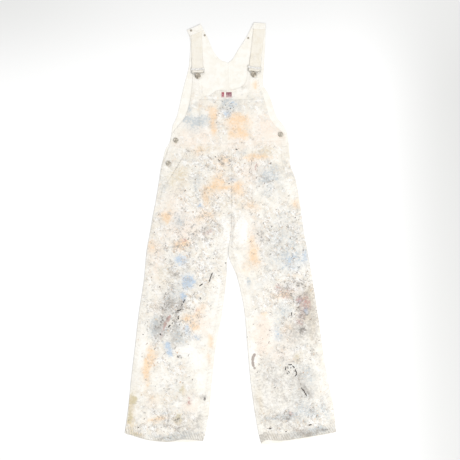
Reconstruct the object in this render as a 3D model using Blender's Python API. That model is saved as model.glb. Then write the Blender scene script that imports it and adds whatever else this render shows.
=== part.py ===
"""Painter's bib overalls in cotton canvas, laid flat on their back with the front up.

Sizes in the tables are in millimetres: X runs to the viewer's right, Y from the hems to the
shoulders, Z up from the surface that the garment lies on. Left and right are the viewer's.
The back panels lie flat on the surface, the front panels lie on them, and the pockets and
plackets are made from the points of the panel under them, moved out.
"""
import math
from collections import namedtuple

import bpy
import bmesh
from mathutils import Vector

MM = 0.001

# Cloth
PANEL = 1.2                # wall of the washed and painted canvas
BAND = 1.6                 # wall of the waistband, which is cloth on cloth
LABEL = 1.0                # wall of the woven label
LAY = 0.3                  # space between two layers that lie on each other
PATCH_LAY = 0.5            # space under a patch, which follows the curve of its panel
SEAM = 0.3                 # space between two panels where they are sewn together
HEM_DEPTH = 22.0           # height of the turned-up hem
HEM_EXTRA = 0.9            # what the turned-up hem adds to the wall
LOFT = 1.1                 # how far the front panels stand off the back away from the edges
LOFT_REACH = 18.0          # distance from an edge over which they rise

# Waist
WAIST_Y = 298.0            # middle of the waistband on the centre line
WAIST_TILT = 0.05          # the waistband runs slightly uphill to the right
WAISTBAND = 20.0           # height of the waistband
CROTCH = (3.0, 63.0)       # where the legs part

# Straps
WEB_WIDTH = 37.0           # webbing strap
WEB_WALL = 1.4
SLIDE_TO_BUTTON = 23.5     # from the middle of the slide to the middle of the bib button
WIRE = 1.3                 # radius of the hook's wire
HOOK_BAR = -8.4            # the hook's bar below the middle of the slide
BAR_HEIGHT = 4.7           # height of the middle of that bar
LOOP_RADIUS = 2.5          # the webbing's middle line round that bar
RING_RADIUS = 5.3          # the hook's ring round the button's shank
RING_HEIGHT = 5.9          # height of the middle of the ring's wire
SLIDE_HALF = 3.2           # half of the slide's length along the strap
SLIDE_RUN = 3.8            # the two layers lie close together this far each way in the slide
UPPER_RUN = 5.2            # height of the middle of the upper layer there
LOWER_RUN = 3.5            # height of the middle of the lower layer there
WEB_LAY = 0.4              # space over the webbing and between its two layers
TAB_LENGTH = 21.0          # turned-over end of the shoulder arm
TAB_RISE = 9.0             # below the arm's end, the tab has risen over the webbing
CORNER_ABOVE_BUTTON = 10.5 # bib cloth above the middle of its button

# A section of the trousers: the outer and inner edge of each leg. Above the crotch the two
# inner edges are the centre seam.
Section = namedtuple("Section", "y left_outer left_inner right_inner right_outer")
TROUSERS = (
    Section(-720, -364, -99, 106, 366),
    Section(-678, -359, -86, 95, 359),
    Section(-590, -347, -71, 80, 350),
    Section(-500, -338, -63, 68, 331),
    Section(-390, -325, -51, 58, 313),
    Section(-270, -311, -29, 48, 296),
    Section(-150, -293, -14, 23, 277),
    Section(-62, -285, -9, -8, 262),
    Section(0, -274, 1, 1, 250),
    Section(63, -263, 3, 3, 241),
    Section(120, -252, 2, 2, 233),
    Section(190, -241, 0, 0, 219),
    Section(233, -234, -1, -1, 203),
    Section(288, -212, -2, -2, 197),
)

# A section above the waist: the edges of the bib and of the back behind it.
Rise = namedtuple("Rise", "y bib_left bib_right back_left back_right")
ABOVE_WAIST = (
    Rise(288, -212, 197, -220, 200),
    Rise(308, -205, 192, -208, 197),
    Rise(339, -199, 182, -201, 193),
    Rise(363, -181, 156, -198, 183),
    Rise(397, -155, 132, -183, 157),
    Rise(430, -143, 122, -175, 145),
    Rise(471, -135, 110, -166, 131),
    Rise(512, -130, 97, -156, 110),
    Rise(552, -128, 93, -145, 112),
)

# A section of the shoulder arms: the outer edge of each, and its edge in the neck notch.
Arm = namedtuple("Arm", "y left_outer left_notch right_notch right_outer")
ARMS = (
    Arm(582, -140, -9, -9, 114),
    Arm(587, -140, -27, 1, 114),
    Arm(597, -139, -41, 9, 115),
    Arm(624, -137, -60, 25, 116),
    Arm(648, -136, -71, 41, 117),
    Arm(672, -140, -81, 56, 118),
    Arm(692, -149, -91, 66, 119),
    Arm(720, -158, -106, 81, 119),
)

# Ends of the panels: the share of the way across, and the height there.
LEFT_HEM = ((0, -678), (0.19, -693), (0.34, -702), (0.55, -707), (0.77, -699), (1, -704))
RIGHT_HEM = ((0, -712), (0.08, -701), (0.25, -703), (0.62, -691), (1, -674))
LEFT_BACK_HEM = ((0, -679), (0.34, -704), (0.6, -709), (1, -706))
RIGHT_BACK_HEM = ((0, -718), (0.25, -711), (0.62, -696), (1, -675))

# The two corners (x, y) of the upper end of each shoulder arm.
LEFT_ARM_END = ((-149, 692), (-102, 713))
RIGHT_ARM_END = ((80, 718), (119, 715))

# The bib hangs between its two buttons, so its top edge droops from their corners.
Button = namedtuple("Button", "x y")
LEFT_BUTTON = Button(-111.5, 535.3)
RIGHT_BUTTON = Button(78.5, 540.5)
BIB_TOP = (
    (0, LEFT_BUTTON.y + CORNER_ABOVE_BUTTON), (0.13, LEFT_BUTTON.y + CORNER_ABOVE_BUTTON),
    (0.165, 478), (0.19, 467), (0.24, 468), (0.375, 487), (0.49, 488), (0.63, 492),
    (0.75, 503), (0.81, 520), (0.845, RIGHT_BUTTON.y + CORNER_ABOVE_BUTTON),
    (1, RIGHT_BUTTON.y + CORNER_ABOVE_BUTTON),
)

# The largest folds of the front, each a soft ridge along a line.
Fold = namedtuple("Fold", "x0 y0 x1 y1 width height")
FOLDS = (
    Fold(-111, 520, -107, 495, 44, 1.6),
    Fold(74, 520, 70, 495, 44, 1.6),
    Fold(45, 40, 42, -45, 62, 2.2),
    Fold(-215, 60, -205, -150, 80, 1.7),
    Fold(-120, -60, -165, -380, 80, 1.6),
    Fold(-285, -300, -305, -560, 60, 1.6),
    Fold(-120, -420, -130, -610, 62, 1.5),
    Fold(-232, -655, -182, -632, 44, 1.6),
    Fold(-182, -632, -135, -660, 44, 1.6),
    Fold(195, 50, 215, -250, 80, 1.8),
    Fold(105, -120, 130, -430, 76, 1.6),
    Fold(265, -280, 305, -520, 62, 1.5),
    Fold(160, -470, 172, -600, 60, 1.3),
    Fold(325, -600, 268, -640, 46, 1.7),
    Fold(115, -632, 205, -630, 42, 1.4),
)


def smooth_line(knots):
    """A curve through (position, value) knots that never swings past them."""
    spots = [k[0] for k in knots]
    values = [k[1] for k in knots]
    gaps = [b - a for a, b in zip(spots, spots[1:])]
    rates = [(b - a) / g for a, b, g in zip(values, values[1:], gaps)]
    slopes = [rates[0]]
    for before, after in zip(rates, rates[1:]):
        same_way = before * after > 0
        slopes.append(2 * before * after / (before + after) if same_way else 0.0)
    slopes.append(rates[-1])

    def value_at(spot):
        last = len(gaps) - 1
        i = next((n for n in range(last) if spot < spots[n + 1]), last)
        t = (spot - spots[i]) / gaps[i]
        if t < 0 or t > 1:
            end = i if t < 0 else i + 1
            return values[end] + slopes[end] * (spot - spots[end])
        a, b = values[i], values[i + 1]
        m, n = slopes[i] * gaps[i], slopes[i + 1] * gaps[i]
        return (a * (1 + 2 * t) * (1 - t) ** 2 + m * t * (1 - t) ** 2
                + b * t * t * (3 - 2 * t) + n * t * t * (t - 1))
    return value_at


def column(table, name):
    return [(row.y, getattr(row, name)) for row in table]


front_left = smooth_line(column(TROUSERS, "left_outer") + column(ABOVE_WAIST, "bib_left")[1:])
front_right = smooth_line(column(TROUSERS, "right_outer") + column(ABOVE_WAIST, "bib_right")[1:])
left_inner = smooth_line(column(TROUSERS, "left_inner"))
right_inner = smooth_line(column(TROUSERS, "right_inner"))
back_left = smooth_line(column(TROUSERS, "left_outer")[:-1] + column(ABOVE_WAIST, "back_left")
                        + column(ARMS, "left_outer"))
back_right = smooth_line(column(TROUSERS, "right_outer")[:-1] + column(ABOVE_WAIST, "back_right")
                         + column(ARMS, "right_outer"))


def back_middle(edge_name):
    """The centre back seam up to the neck notch, and above it one edge of the notch."""
    notch = smooth_line(column(ARMS, edge_name))
    seam = smooth_line((CROTCH[::-1], (ARMS[0].y, ARMS[0].left_notch)))
    return lambda y: seam(y) if y < ARMS[0].y else notch(y)


left_notch = back_middle("left_notch")
right_notch = back_middle("right_notch")


def waist_y(x):
    return WAIST_Y + WAIST_TILT * x


def along_waist(x_left, x_right, rise):
    """An end line that keeps one distance from the middle of the waistband."""
    return ((0, waist_y(x_left) + rise), (1, waist_y(x_right) + rise))


def smooth_step(t):
    t = min(max(t, 0.0), 1.0)
    return t * t * (3 - 2 * t)


def edge_distance(x, y):
    """How far a point of the front lies inside the outline and the fold between the legs."""
    to_side = min(x - front_left(y), front_right(y) - x)
    if y > CROTCH[1]:
        to_fold = math.hypot(x - CROTCH[0], y - CROTCH[1])
    elif x < (left_inner(y) + right_inner(y)) / 2:
        to_fold = left_inner(y) - x
    else:
        to_fold = x - right_inner(y)
    return max(0.0, min(to_side, to_fold))


def fold_height(x, y):
    total = 0.0
    for fold in FOLDS:
        run = Vector((fold.x1 - fold.x0, fold.y1 - fold.y0))
        away = Vector((x - fold.x0, y - fold.y0))
        share = min(max(away.dot(run) / run.length_squared, 0.0), 1.0)
        distance = (away - run * share).length
        if distance < fold.width / 2:
            total += fold.height * math.cos(math.pi * distance / fold.width) ** 2
    return total


def front_low(x, y):
    """The inside of the front layer."""
    rise = LOFT * (1 - math.exp(-edge_distance(x, y) / LOFT_REACH))
    return PANEL + LAY + rise + fold_height(x, y)


def patch_low(x, y):
    """The inside of a patch on the front layer."""
    return front_low(x, y) + PANEL + PATCH_LAY


def back_low(x, y):
    return 0.0


def level(y):
    """An end line that runs straight across."""
    return ((0, y), (1, y))


def end_line(corners, drop=0.0):
    """The end line between two corners (x, y), let down by some distance."""
    return tuple((share, y - drop) for share, (x, y) in enumerate(corners))


def shares(count, knots=()):
    """Even shares of a length, with the given knots in place of those close to them."""
    even = [i / count for i in range(count + 1)]
    clear = [s for s in even if all(abs(s - k) > 0.45 / count for k in knots)]
    return sorted(set(clear) | set(knots))


def finish(obj, colour, roughness, metallic=0.0):
    material = bpy.data.materials.new(obj.name)
    material.use_nodes = True
    shader = material.node_tree.nodes["Principled BSDF"]
    shader.inputs["Base Color"].default_value = (*colour, 1.0)
    shader.inputs["Roughness"].default_value = roughness
    shader.inputs["Metallic"].default_value = metallic
    obj.data.materials.append(material)
    return obj


def canvas(obj):
    return finish(obj, (0.84, 0.80, 0.72), 0.9)


def woven(obj):
    return finish(obj, (0.45, 0.10, 0.09), 0.8)


def elastic(obj):
    return finish(obj, (0.80, 0.73, 0.60), 0.85)


def aged_metal(obj):
    return finish(obj, (0.22, 0.19, 0.15), 0.45, 0.9)


def make_object(name, bm):
    bmesh.ops.recalc_face_normals(bm, faces=bm.faces)
    mesh = bpy.data.meshes.new(name)
    bm.to_mesh(mesh)
    bm.free()
    obj = bpy.data.objects.new(name, mesh)
    bpy.context.collection.objects.link(obj)
    return obj


def close_grid(bm, outside, inside):
    """Faces for two grids of points and for the wall's edge all round them."""
    rows, cols = len(outside) - 1, len(outside[0]) - 1
    for j in range(rows):
        for i in range(cols):
            for grid in (outside, inside):
                bm.faces.new((grid[j][i], grid[j][i + 1], grid[j + 1][i + 1], grid[j + 1][i]))
    rim = ([(0, i) for i in range(cols)] + [(j, cols) for j in range(rows)]
           + [(rows, i) for i in range(cols, 0, -1)] + [(j, 0) for j in range(rows, 0, -1)])
    for (j, i), (n, m) in zip(rim, rim[1:] + rim[:1]):
        bm.faces.new((outside[j][i], outside[n][m], inside[n][m], inside[j][i]))


def cloth(name, sides, ends, low, across, along, wall=PANEL, hem=0.0, dress=canvas):
    """One cut piece of cloth as a closed wall.

    sides are its two side lines, x for a given y. ends are its lower and upper end line,
    knots of (share of the way across, y). low gives the height of its inner face.
    """
    left, right = sides
    lower, upper = smooth_line(ends[0]), smooth_line(ends[1])
    bm = bmesh.new()
    outside, inside = [], []
    for v in along:
        outside.append([])
        inside.append([])
        for u in across:
            y = lower(u) + (upper(u) - lower(u)) * v
            x = left(y) + (right(y) - left(y)) * u
            turned = hem * (1 - smooth_step((y - lower(u) - HEM_DEPTH * 0.8) / (HEM_DEPTH * 0.4)))
            z = low(x, y)
            inside[-1].append(bm.verts.new((x * MM, y * MM, z * MM)))
            outside[-1].append(bm.verts.new((x * MM, y * MM, (z + wall + turned) * MM)))
    close_grid(bm, outside, inside)
    return dress(make_object(name, bm))


def inset(line, amount):
    return lambda y: line(y) + amount


def back_panels():
    rows = shares(46)
    top_left = along_waist(front_left(WAIST_Y), CROTCH[0], -SEAM / 2)
    top_right = along_waist(CROTCH[0], front_right(WAIST_Y), -SEAM / 2)
    cloth("back_leg_left", (back_left, inset(left_inner, -SEAM / 2)),
          (LEFT_BACK_HEM, top_left), back_low, across=shares(3), along=rows)
    cloth("back_leg_right", (inset(right_inner, SEAM / 2), back_right),
          (RIGHT_BACK_HEM, top_right), back_low, across=shares(3), along=rows)

    rows = shares(34, (0.69, 0.7, 0.715, 0.735, 0.76))
    low_left = along_waist(front_left(WAIST_Y), CROTCH[0], SEAM / 2)
    low_right = along_waist(CROTCH[0], front_right(WAIST_Y), SEAM / 2)
    cloth("back_bib_left", (back_left, inset(left_notch, -SEAM / 2)),
          (low_left, end_line(LEFT_ARM_END)), back_low, across=shares(4), along=rows)
    cloth("back_bib_right", (inset(right_notch, SEAM / 2), back_right),
          (low_right, end_line(RIGHT_ARM_END)), back_low, across=shares(4), along=rows)


def front_panels():
    hem_rows = (0.014, 0.03)
    top = -WAISTBAND / 2 - SEAM
    cloth("front_leg_left", (front_left, inset(left_inner, -SEAM / 2)),
          (LEFT_HEM, along_waist(front_left(WAIST_Y), CROTCH[0], top)), front_low,
          across=shares(11), along=shares(42, hem_rows), hem=HEM_EXTRA)
    cloth("front_leg_right", (inset(right_inner, SEAM / 2), front_right),
          (RIGHT_HEM, along_waist(CROTCH[0], front_right(WAIST_Y), top)), front_low,
          across=shares(11), along=shares(42, hem_rows), hem=HEM_EXTRA)

    sides = (front_left, front_right)
    reach = (front_left(WAIST_Y), front_right(WAIST_Y))
    cloth("waistband", sides, (along_waist(*reach, -WAISTBAND / 2),
                               along_waist(*reach, WAISTBAND / 2)),
          front_low, wall=BAND, across=shares(18), along=shares(2))
    knots = tuple(k[0] for k in BIB_TOP)
    cloth("front_bib", sides, (along_waist(*reach, WAISTBAND / 2 + SEAM), BIB_TOP),
          front_low, across=shares(16, knots), along=shares(16))


def patches():
    under_band = -WAISTBAND / 2 - 4 * SEAM
    across, along = shares(7), shares(11)
    cloth("front_pocket_left",
          (smooth_line(((87, -243), (155, -231), (175, -214), (200, -198), (233, -178),
                        (285, -147))), lambda y: -90),
          (((0, 90), (0.12, 84), (1, 86)), along_waist(-147, -90, under_band)),
          patch_low, across=across, along=along)
    cloth("front_pocket_right",
          (lambda y: 73, smooth_line(((87, 222), (155, 211), (175, 197), (209, 172), (243, 150),
                                      (292, 121)))),
          (((0, 88), (0.88, 86), (1, 92)), along_waist(73, 121, under_band)),
          patch_low, across=across, along=along)
    cloth("side_placket_left", (inset(front_left, 3), inset(front_left, 26)),
          (level(176), along_waist(-209, -186, under_band)),
          patch_low, across=shares(2), along=shares(8))
    cloth("side_placket_right", (inset(front_right, -26), inset(front_right, -3)),
          (level(186), along_waist(171, 194, under_band)),
          patch_low, across=shares(2), along=shares(8))
    cloth("fly_placket",
          (lambda y: 3.5, smooth_line(((84, 10), (92, 22), (106, 31), (130, 36), (290, 36)))),
          (level(85), along_waist(3.5, 36, under_band)),
          patch_low, across=shares(3), along=shares(12))
    cloth("bib_pocket", (lambda y: -107, smooth_line(((359, 107), (457, 100)))),
          (((0, 366), (0.07, 360), (0.9, 359), (1, 371)), ((0, 456), (0.5, 454), (1, 458))),
          patch_low, across=shares(12), along=shares(8))
    cloth("bib_label", (lambda y: -32, lambda y: 5), (level(462), level(482)),
          patch_low, across=shares(3), along=shares(2), wall=LABEL, dress=woven)


def tab_low(arm_end):
    """A turned-over arm end comes down to its fold and rides over the webbing below it."""
    end = smooth_line(arm_end)

    def low(x, y):
        over_webbing = smooth_step((end(x) - y) / TAB_RISE)
        return PANEL + LAY + (WEB_WALL + WEB_LAY) * over_webbing
    return low


def shoulder_tabs():
    for side, sides, arm_end in (
            ("left", (inset(back_left, 0.5), inset(left_notch, -0.8)), LEFT_ARM_END),
            ("right", (inset(right_notch, 0.8), inset(back_right, -0.5)), RIGHT_ARM_END)):
        cloth("shoulder_tab_" + side, sides,
              (end_line(arm_end, TAB_LENGTH), end_line(arm_end, 0.4)), tab_low(arm_end),
              across=shares(4), along=shares(5))


def strap_point(button, tilt):
    """Places a point given across and along a strap, from the middle of its slide."""
    along = Vector((math.sin(tilt), math.cos(tilt)))
    across = Vector((math.cos(tilt), -math.sin(tilt)))
    slide = Vector(button) + along * SLIDE_TO_BUTTON

    def place(a, s, z):
        spot = slide + across * a + along * s
        return (spot.x * MM, spot.y * MM, z * MM)
    return place


def webbing(name, place, length, skew):
    """The strap from under the tab, round the hook's bar and back up behind itself."""
    flat = PANEL + LAY + WEB_WALL / 2
    over = flat + WEB_WALL + WEB_LAY
    path = [(length, flat), (60, flat), (42, flat), (32, over), (10, over),
            (SLIDE_RUN, UPPER_RUN), (-SLIDE_RUN, UPPER_RUN)]
    for degrees in (60, 90, 120, 150, 180, 210, 240, 270):
        turn = math.radians(degrees)
        path.append((HOOK_BAR + LOOP_RADIUS * math.cos(turn),
                     BAR_HEIGHT + LOOP_RADIUS * math.sin(turn)))
    path += [(-SLIDE_RUN, LOWER_RUN), (SLIDE_RUN, LOWER_RUN), (9, flat), (28, flat)]
    bm = bmesh.new()
    rings = []
    for i, (s, z) in enumerate(path):
        before, after = path[max(i - 1, 0)], path[min(i + 1, len(path) - 1)]
        run = Vector((after[0] - before[0], after[1] - before[1])).normalized()
        out = Vector((run.y, -run.x)) * WEB_WALL / 2
        slant = skew if i == 0 else 0.0
        corners = ((-1, 1), (1, 1), (1, -1), (-1, -1))
        rings.append([bm.verts.new(place(a * WEB_WIDTH / 2,
                                         s + slant * a * WEB_WIDTH / 2 + out.x * side,
                                         z + out.y * side)) for a, side in corners])
    for low, high in zip(rings, rings[1:]):
        for k in range(4):
            bm.faces.new((low[k], low[(k + 1) % 4], high[(k + 1) % 4], high[k]))
    bm.faces.new(rings[0])
    bm.faces.new(rings[-1])
    return elastic(make_object(name, bm))


def slide(name, place):
    """A flat metal sleeve round both layers of the webbing, with a nub at each end."""
    outer = ((-23, 3.3), (-23, 5.4), (-20.6, 7.2), (20.6, 7.2),
             (23, 5.4), (23, 3.3), (20.6, 1.5), (-20.6, 1.5))
    inner = ((-19.3, 3.3), (-19.3, 5.4), (-19.0, 6.25), (19.0, 6.25),
             (19.3, 5.4), (19.3, 3.3), (19.0, 2.45), (-19.0, 2.45))
    bm = bmesh.new()
    loops = [[bm.verts.new(place(a, s, z)) for a, z in outline]
             for outline, s in ((outer, SLIDE_HALF), (outer, -SLIDE_HALF),
                                (inner, -SLIDE_HALF), (inner, SLIDE_HALF))]
    for first, second in zip(loops, loops[1:] + loops[:1]):
        for k in range(len(outer)):
            n = (k + 1) % len(outer)
            bm.faces.new((first[k], first[n], second[n], second[k]))
    return aged_metal(make_object(name, bm))


def hook(name, place):
    """The wire hook: a bar in the webbing's loop, and a ring under the button's cap."""
    low, high = BAR_HEIGHT, RING_HEIGHT
    half = [(0, HOOK_BAR, low), (19.6, HOOK_BAR, low), (20.9, HOOK_BAR - 0.9, low),
            (20.6, -13.0, low + 0.2), (13.0, -16.3, 5.4), (7.2, -19.0, high)]
    for degrees in (25, -5, -35, -65):
        turn = math.radians(degrees)
        half.append((RING_RADIUS * math.cos(turn),
                     RING_RADIUS * math.sin(turn) - SLIDE_TO_BUTTON, high))
    points = half + [(0, -RING_RADIUS - SLIDE_TO_BUTTON, high)]
    points += [(-a, s, z) for a, s, z in half[:0:-1]]
    curve = bpy.data.curves.new(name, "CURVE")
    curve.dimensions = "3D"
    curve.bevel_depth = WIRE * MM
    curve.bevel_resolution = 2
    spline = curve.splines.new("POLY")
    spline.points.add(len(points) - 1)
    for point, spot in zip(spline.points, points):
        point.co = (*place(*spot), 1.0)
    spline.use_cyclic_u = True
    obj = bpy.data.objects.new(name, curve)
    bpy.context.collection.objects.link(obj)
    return aged_metal(obj)


def turned(name, x, y, z, profile, sides):
    """A round piece from a profile of (radius, height), standing at a point of the front."""
    bm = bmesh.new()
    rings = []
    for radius, height in profile:
        rings.append([bm.verts.new(((x + radius * math.cos(math.tau * k / sides)) * MM,
                                    (y + radius * math.sin(math.tau * k / sides)) * MM,
                                    (z + height) * MM)) for k in range(sides)])
    for low, high in zip(rings, rings[1:]):
        for k in range(sides):
            bm.faces.new((low[k], low[(k + 1) % sides], high[(k + 1) % sides], high[k]))
    bm.faces.new(rings[0])
    bm.faces.new(rings[-1])
    obj = aged_metal(make_object(name, bm))
    obj.data.shade_smooth()
    obj.data.set_sharp_from_angle(angle=math.radians(40))
    return obj


def straps():
    sides = (("left", LEFT_BUTTON, -2.0, 134.0, 0.42), ("right", RIGHT_BUTTON, 6.6, 142.0, 0.05))
    for side, button, tilt, length, skew in sides:
        place = strap_point(button, math.radians(tilt))
        webbing("webbing_" + side, place, length, skew)
        slide("slide_" + side, place)
        hook("hook_" + side, place)
        seat = front_low(*button) + PANEL + LAY + 0.1
        cap = RING_HEIGHT + WIRE + LAY - seat
        turned("bib_button_" + side, button.x, button.y, seat,
               ((3.6, 0), (3.6, cap), (9.0, cap), (9.5, cap + 0.7), (9.2, cap + 1.7),
                (7.2, cap + 2.6), (5.6, cap + 2.3), (2.4, cap + 2.6)), 20)


def fasteners():
    low_button = ((4, 0), (4, 1.3), (8.0, 1.3), (8.5, 2.0), (8.1, 2.9), (6.4, 3.6),
                  (5.0, 3.3), (2.2, 3.6))
    on_bib = PANEL + LAY + 0.1
    on_placket = on_bib + PANEL + PATCH_LAY
    for name, x, y, rise in (("side_button_left_upper", -186, 317, on_bib),
                             ("side_button_left_lower", -211, 238, on_placket),
                             ("side_button_right_upper", 170, 337, on_bib)):
        turned(name, x, y, front_low(x, y) + rise, low_button, 18)

    rivet = ((3.4, 0), (3.5, 0.7), (2.6, 1.5), (1.2, 1.8))
    on_arm = PANEL + LAY
    on_tab = on_arm + WEB_WALL + WEB_LAY + PANEL + LAY
    for name, x, y, z in (("rivet_tab_left", -134, 690, on_tab),
                          ("rivet_notch_left", -88, 674, on_arm),
                          ("rivet_notch_right", 60, 665, on_arm)):
        turned(name, x, y, z, rivet, 14)


def build():
    for obj in list(bpy.data.objects):
        bpy.data.objects.remove(obj)
    back_panels()
    front_panels()
    patches()
    shoulder_tabs()
    straps()
    fasteners()


build()
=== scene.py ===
"""Painter's overalls in old canvas, laid flat: the cloth, its stitching, metal and paint."""
import math
from collections import namedtuple

import bpy
import numpy as np
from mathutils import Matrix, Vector


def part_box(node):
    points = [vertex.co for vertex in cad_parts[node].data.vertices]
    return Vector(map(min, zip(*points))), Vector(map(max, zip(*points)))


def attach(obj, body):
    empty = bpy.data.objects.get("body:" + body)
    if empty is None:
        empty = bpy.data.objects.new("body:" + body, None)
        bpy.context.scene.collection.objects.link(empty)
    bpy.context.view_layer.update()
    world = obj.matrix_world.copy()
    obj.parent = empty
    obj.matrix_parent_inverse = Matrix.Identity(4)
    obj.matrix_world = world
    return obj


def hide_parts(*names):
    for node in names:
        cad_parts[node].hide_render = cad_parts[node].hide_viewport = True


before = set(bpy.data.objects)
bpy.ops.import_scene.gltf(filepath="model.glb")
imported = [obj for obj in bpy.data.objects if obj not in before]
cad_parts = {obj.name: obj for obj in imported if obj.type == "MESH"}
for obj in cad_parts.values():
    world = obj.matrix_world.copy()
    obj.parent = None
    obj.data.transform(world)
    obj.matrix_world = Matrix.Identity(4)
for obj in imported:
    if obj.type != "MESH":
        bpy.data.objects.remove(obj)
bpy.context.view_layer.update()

MM = 0.001

# Cloth, in millimetres. The layers stand where the solids' layers stand.
PANEL = 1.2
LAY = 0.3
WALL = 0.9
BACK_WALL = 0.72
BAND_WALL = 1.25
LABEL_WALL = 0.55
SEWN_GAP = 0.12            # between a patch and the panel that it is sewn on
ROUNDING = 0.42            # share of a wall that the rounding takes off its cut edge
ROUNDING_REACH = 1.3
SEAM = 0.3
HEM_DEPTH = 22.0
LOFT = 1.1
LOFT_REACH = 18.0
UNDER_REST = 0.35          # the back's cloth between its seams clears the surface by this
GRID = 3.6                 # spacing of the points of the front panels
COARSE = 5.5               # and of the back panels

WAIST_Y = 298.0
WAIST_TILT = 0.05
WAISTBAND = 20.0
CROTCH = (3.0, 63.0)

WEB_WIDTH = 37.0
WEB_WALL = 1.4
WEB_LAY = 0.4
SLIDE_TO_BUTTON = 23.5
WIRE = 1.3
HOOK_BAR = -8.4
BAR_HEIGHT = 4.7
LOOP_RADIUS = 2.5
RING_RADIUS = 5.3
RING_HEIGHT = 5.9
SLIDE_HALF = 3.2
SLIDE_RUN = 3.8
UPPER_RUN = 5.2
LOWER_RUN = 3.5
TAB_LENGTH = 21.0
TAB_RISE = 9.0
CORNER_ABOVE_BUTTON = 10.5
LABEL_LEFT, LABEL_RIGHT, LABEL_LOW, LABEL_HIGH = -32.0, 5.0, 462.0, 482.0

STITCH = 2.7               # length of a stitch
STITCH_STEP = 3.7          # from one stitch to the next
THREAD = 0.34              # half of the thread's width

# The photograph: its scale, and the pixel that lies over the part's origin.
PIXEL = 3.4
MIDDLE_PIXEL = (230.6, 233.65)
PHOTO_SIDE = 460


def photo(px, py):
    """Millimetres in the part's frame under a pixel of the photograph."""
    return (px - MIDDLE_PIXEL[0]) * PIXEL, (MIDDLE_PIXEL[1] - py) * PIXEL


def table(kind, *rows):
    return tuple(kind(*row) for row in rows)


Section = namedtuple("Section", "y left_outer left_inner right_inner right_outer")
TROUSERS = table(Section,
    (-720, -364, -99, 106, 366), (-678, -359, -86, 95, 359), (-590, -347, -71, 80, 350),
    (-500, -338, -63, 68, 331), (-390, -325, -51, 58, 313), (-270, -311, -29, 48, 296),
    (-150, -293, -14, 23, 277), (-62, -285, -9, -8, 262), (0, -274, 1, 1, 250),
    (63, -263, 3, 3, 241), (120, -252, 2, 2, 233), (190, -241, 0, 0, 219), (233, -234, -1, -1, 203),
    (288, -212, -2, -2, 197),
)
Rise = namedtuple("Rise", "y bib_left bib_right back_left back_right")
ABOVE_WAIST = table(Rise,
    (288, -212, 197, -220, 200), (308, -205, 192, -208, 197), (339, -199, 182, -201, 193),
    (363, -181, 156, -198, 183), (397, -155, 132, -183, 157), (430, -143, 122, -175, 145),
    (471, -135, 110, -166, 131), (512, -130, 97, -156, 110), (552, -128, 93, -145, 112),
)
Arm = namedtuple("Arm", "y left_outer left_notch right_notch right_outer")
ARMS = table(Arm,
    (582, -140, -9, -9, 114), (587, -140, -27, 1, 114), (597, -139, -41, 9, 115),
    (624, -137, -60, 25, 116), (648, -136, -71, 41, 117), (672, -140, -81, 56, 118),
    (692, -149, -91, 66, 119), (720, -158, -106, 81, 119),
)
LEFT_HEM = ((0, -678), (0.19, -693), (0.34, -702), (0.55, -707), (0.77, -699), (1, -704))
RIGHT_HEM = ((0, -712), (0.08, -701), (0.25, -703), (0.62, -691), (1, -674))
LEFT_BACK_HEM = ((0, -679), (0.34, -704), (0.6, -709), (1, -706))
RIGHT_BACK_HEM = ((0, -718), (0.25, -711), (0.62, -696), (1, -675))
LEFT_ARM_END = ((-149, 692), (-102, 713))
RIGHT_ARM_END = ((80, 718), (119, 715))
Button = namedtuple("Button", "x y")
LEFT_BUTTON = Button(-111.5, 535.3)
RIGHT_BUTTON = Button(78.5, 540.5)
BIB_TOP = (
    (0, LEFT_BUTTON.y + CORNER_ABOVE_BUTTON), (0.13, LEFT_BUTTON.y + CORNER_ABOVE_BUTTON),
    (0.165, 478), (0.19, 467), (0.24, 468), (0.375, 487), (0.49, 488), (0.63, 492),
    (0.75, 503), (0.81, 520), (0.845, RIGHT_BUTTON.y + CORNER_ABOVE_BUTTON),
    (1, RIGHT_BUTTON.y + CORNER_ABOVE_BUTTON),
)

# Broad folds of the front, as in the solids.
Fold = namedtuple("Fold", "x0 y0 x1 y1 width height")
FOLDS = table(Fold,
    (-111, 520, -107, 495, 44, 1.6), (74, 520, 70, 495, 44, 1.6), (45, 40, 42, -45, 62, 2.2),
    (-215, 60, -205, -150, 80, 1.7), (-120, -60, -165, -380, 80, 1.6),
    (-285, -300, -305, -560, 60, 1.6), (-120, -420, -130, -610, 62, 1.5),
    (-232, -655, -182, -632, 44, 1.6), (-182, -632, -135, -660, 44, 1.6),
    (195, 50, 215, -250, 80, 1.8), (105, -120, 130, -430, 76, 1.6), (265, -280, 305, -520, 62, 1.5),
    (160, -470, 172, -600, 60, 1.3), (325, -600, 268, -640, 46, 1.7),
    (115, -632, 205, -630, 42, 1.4),
)

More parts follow.
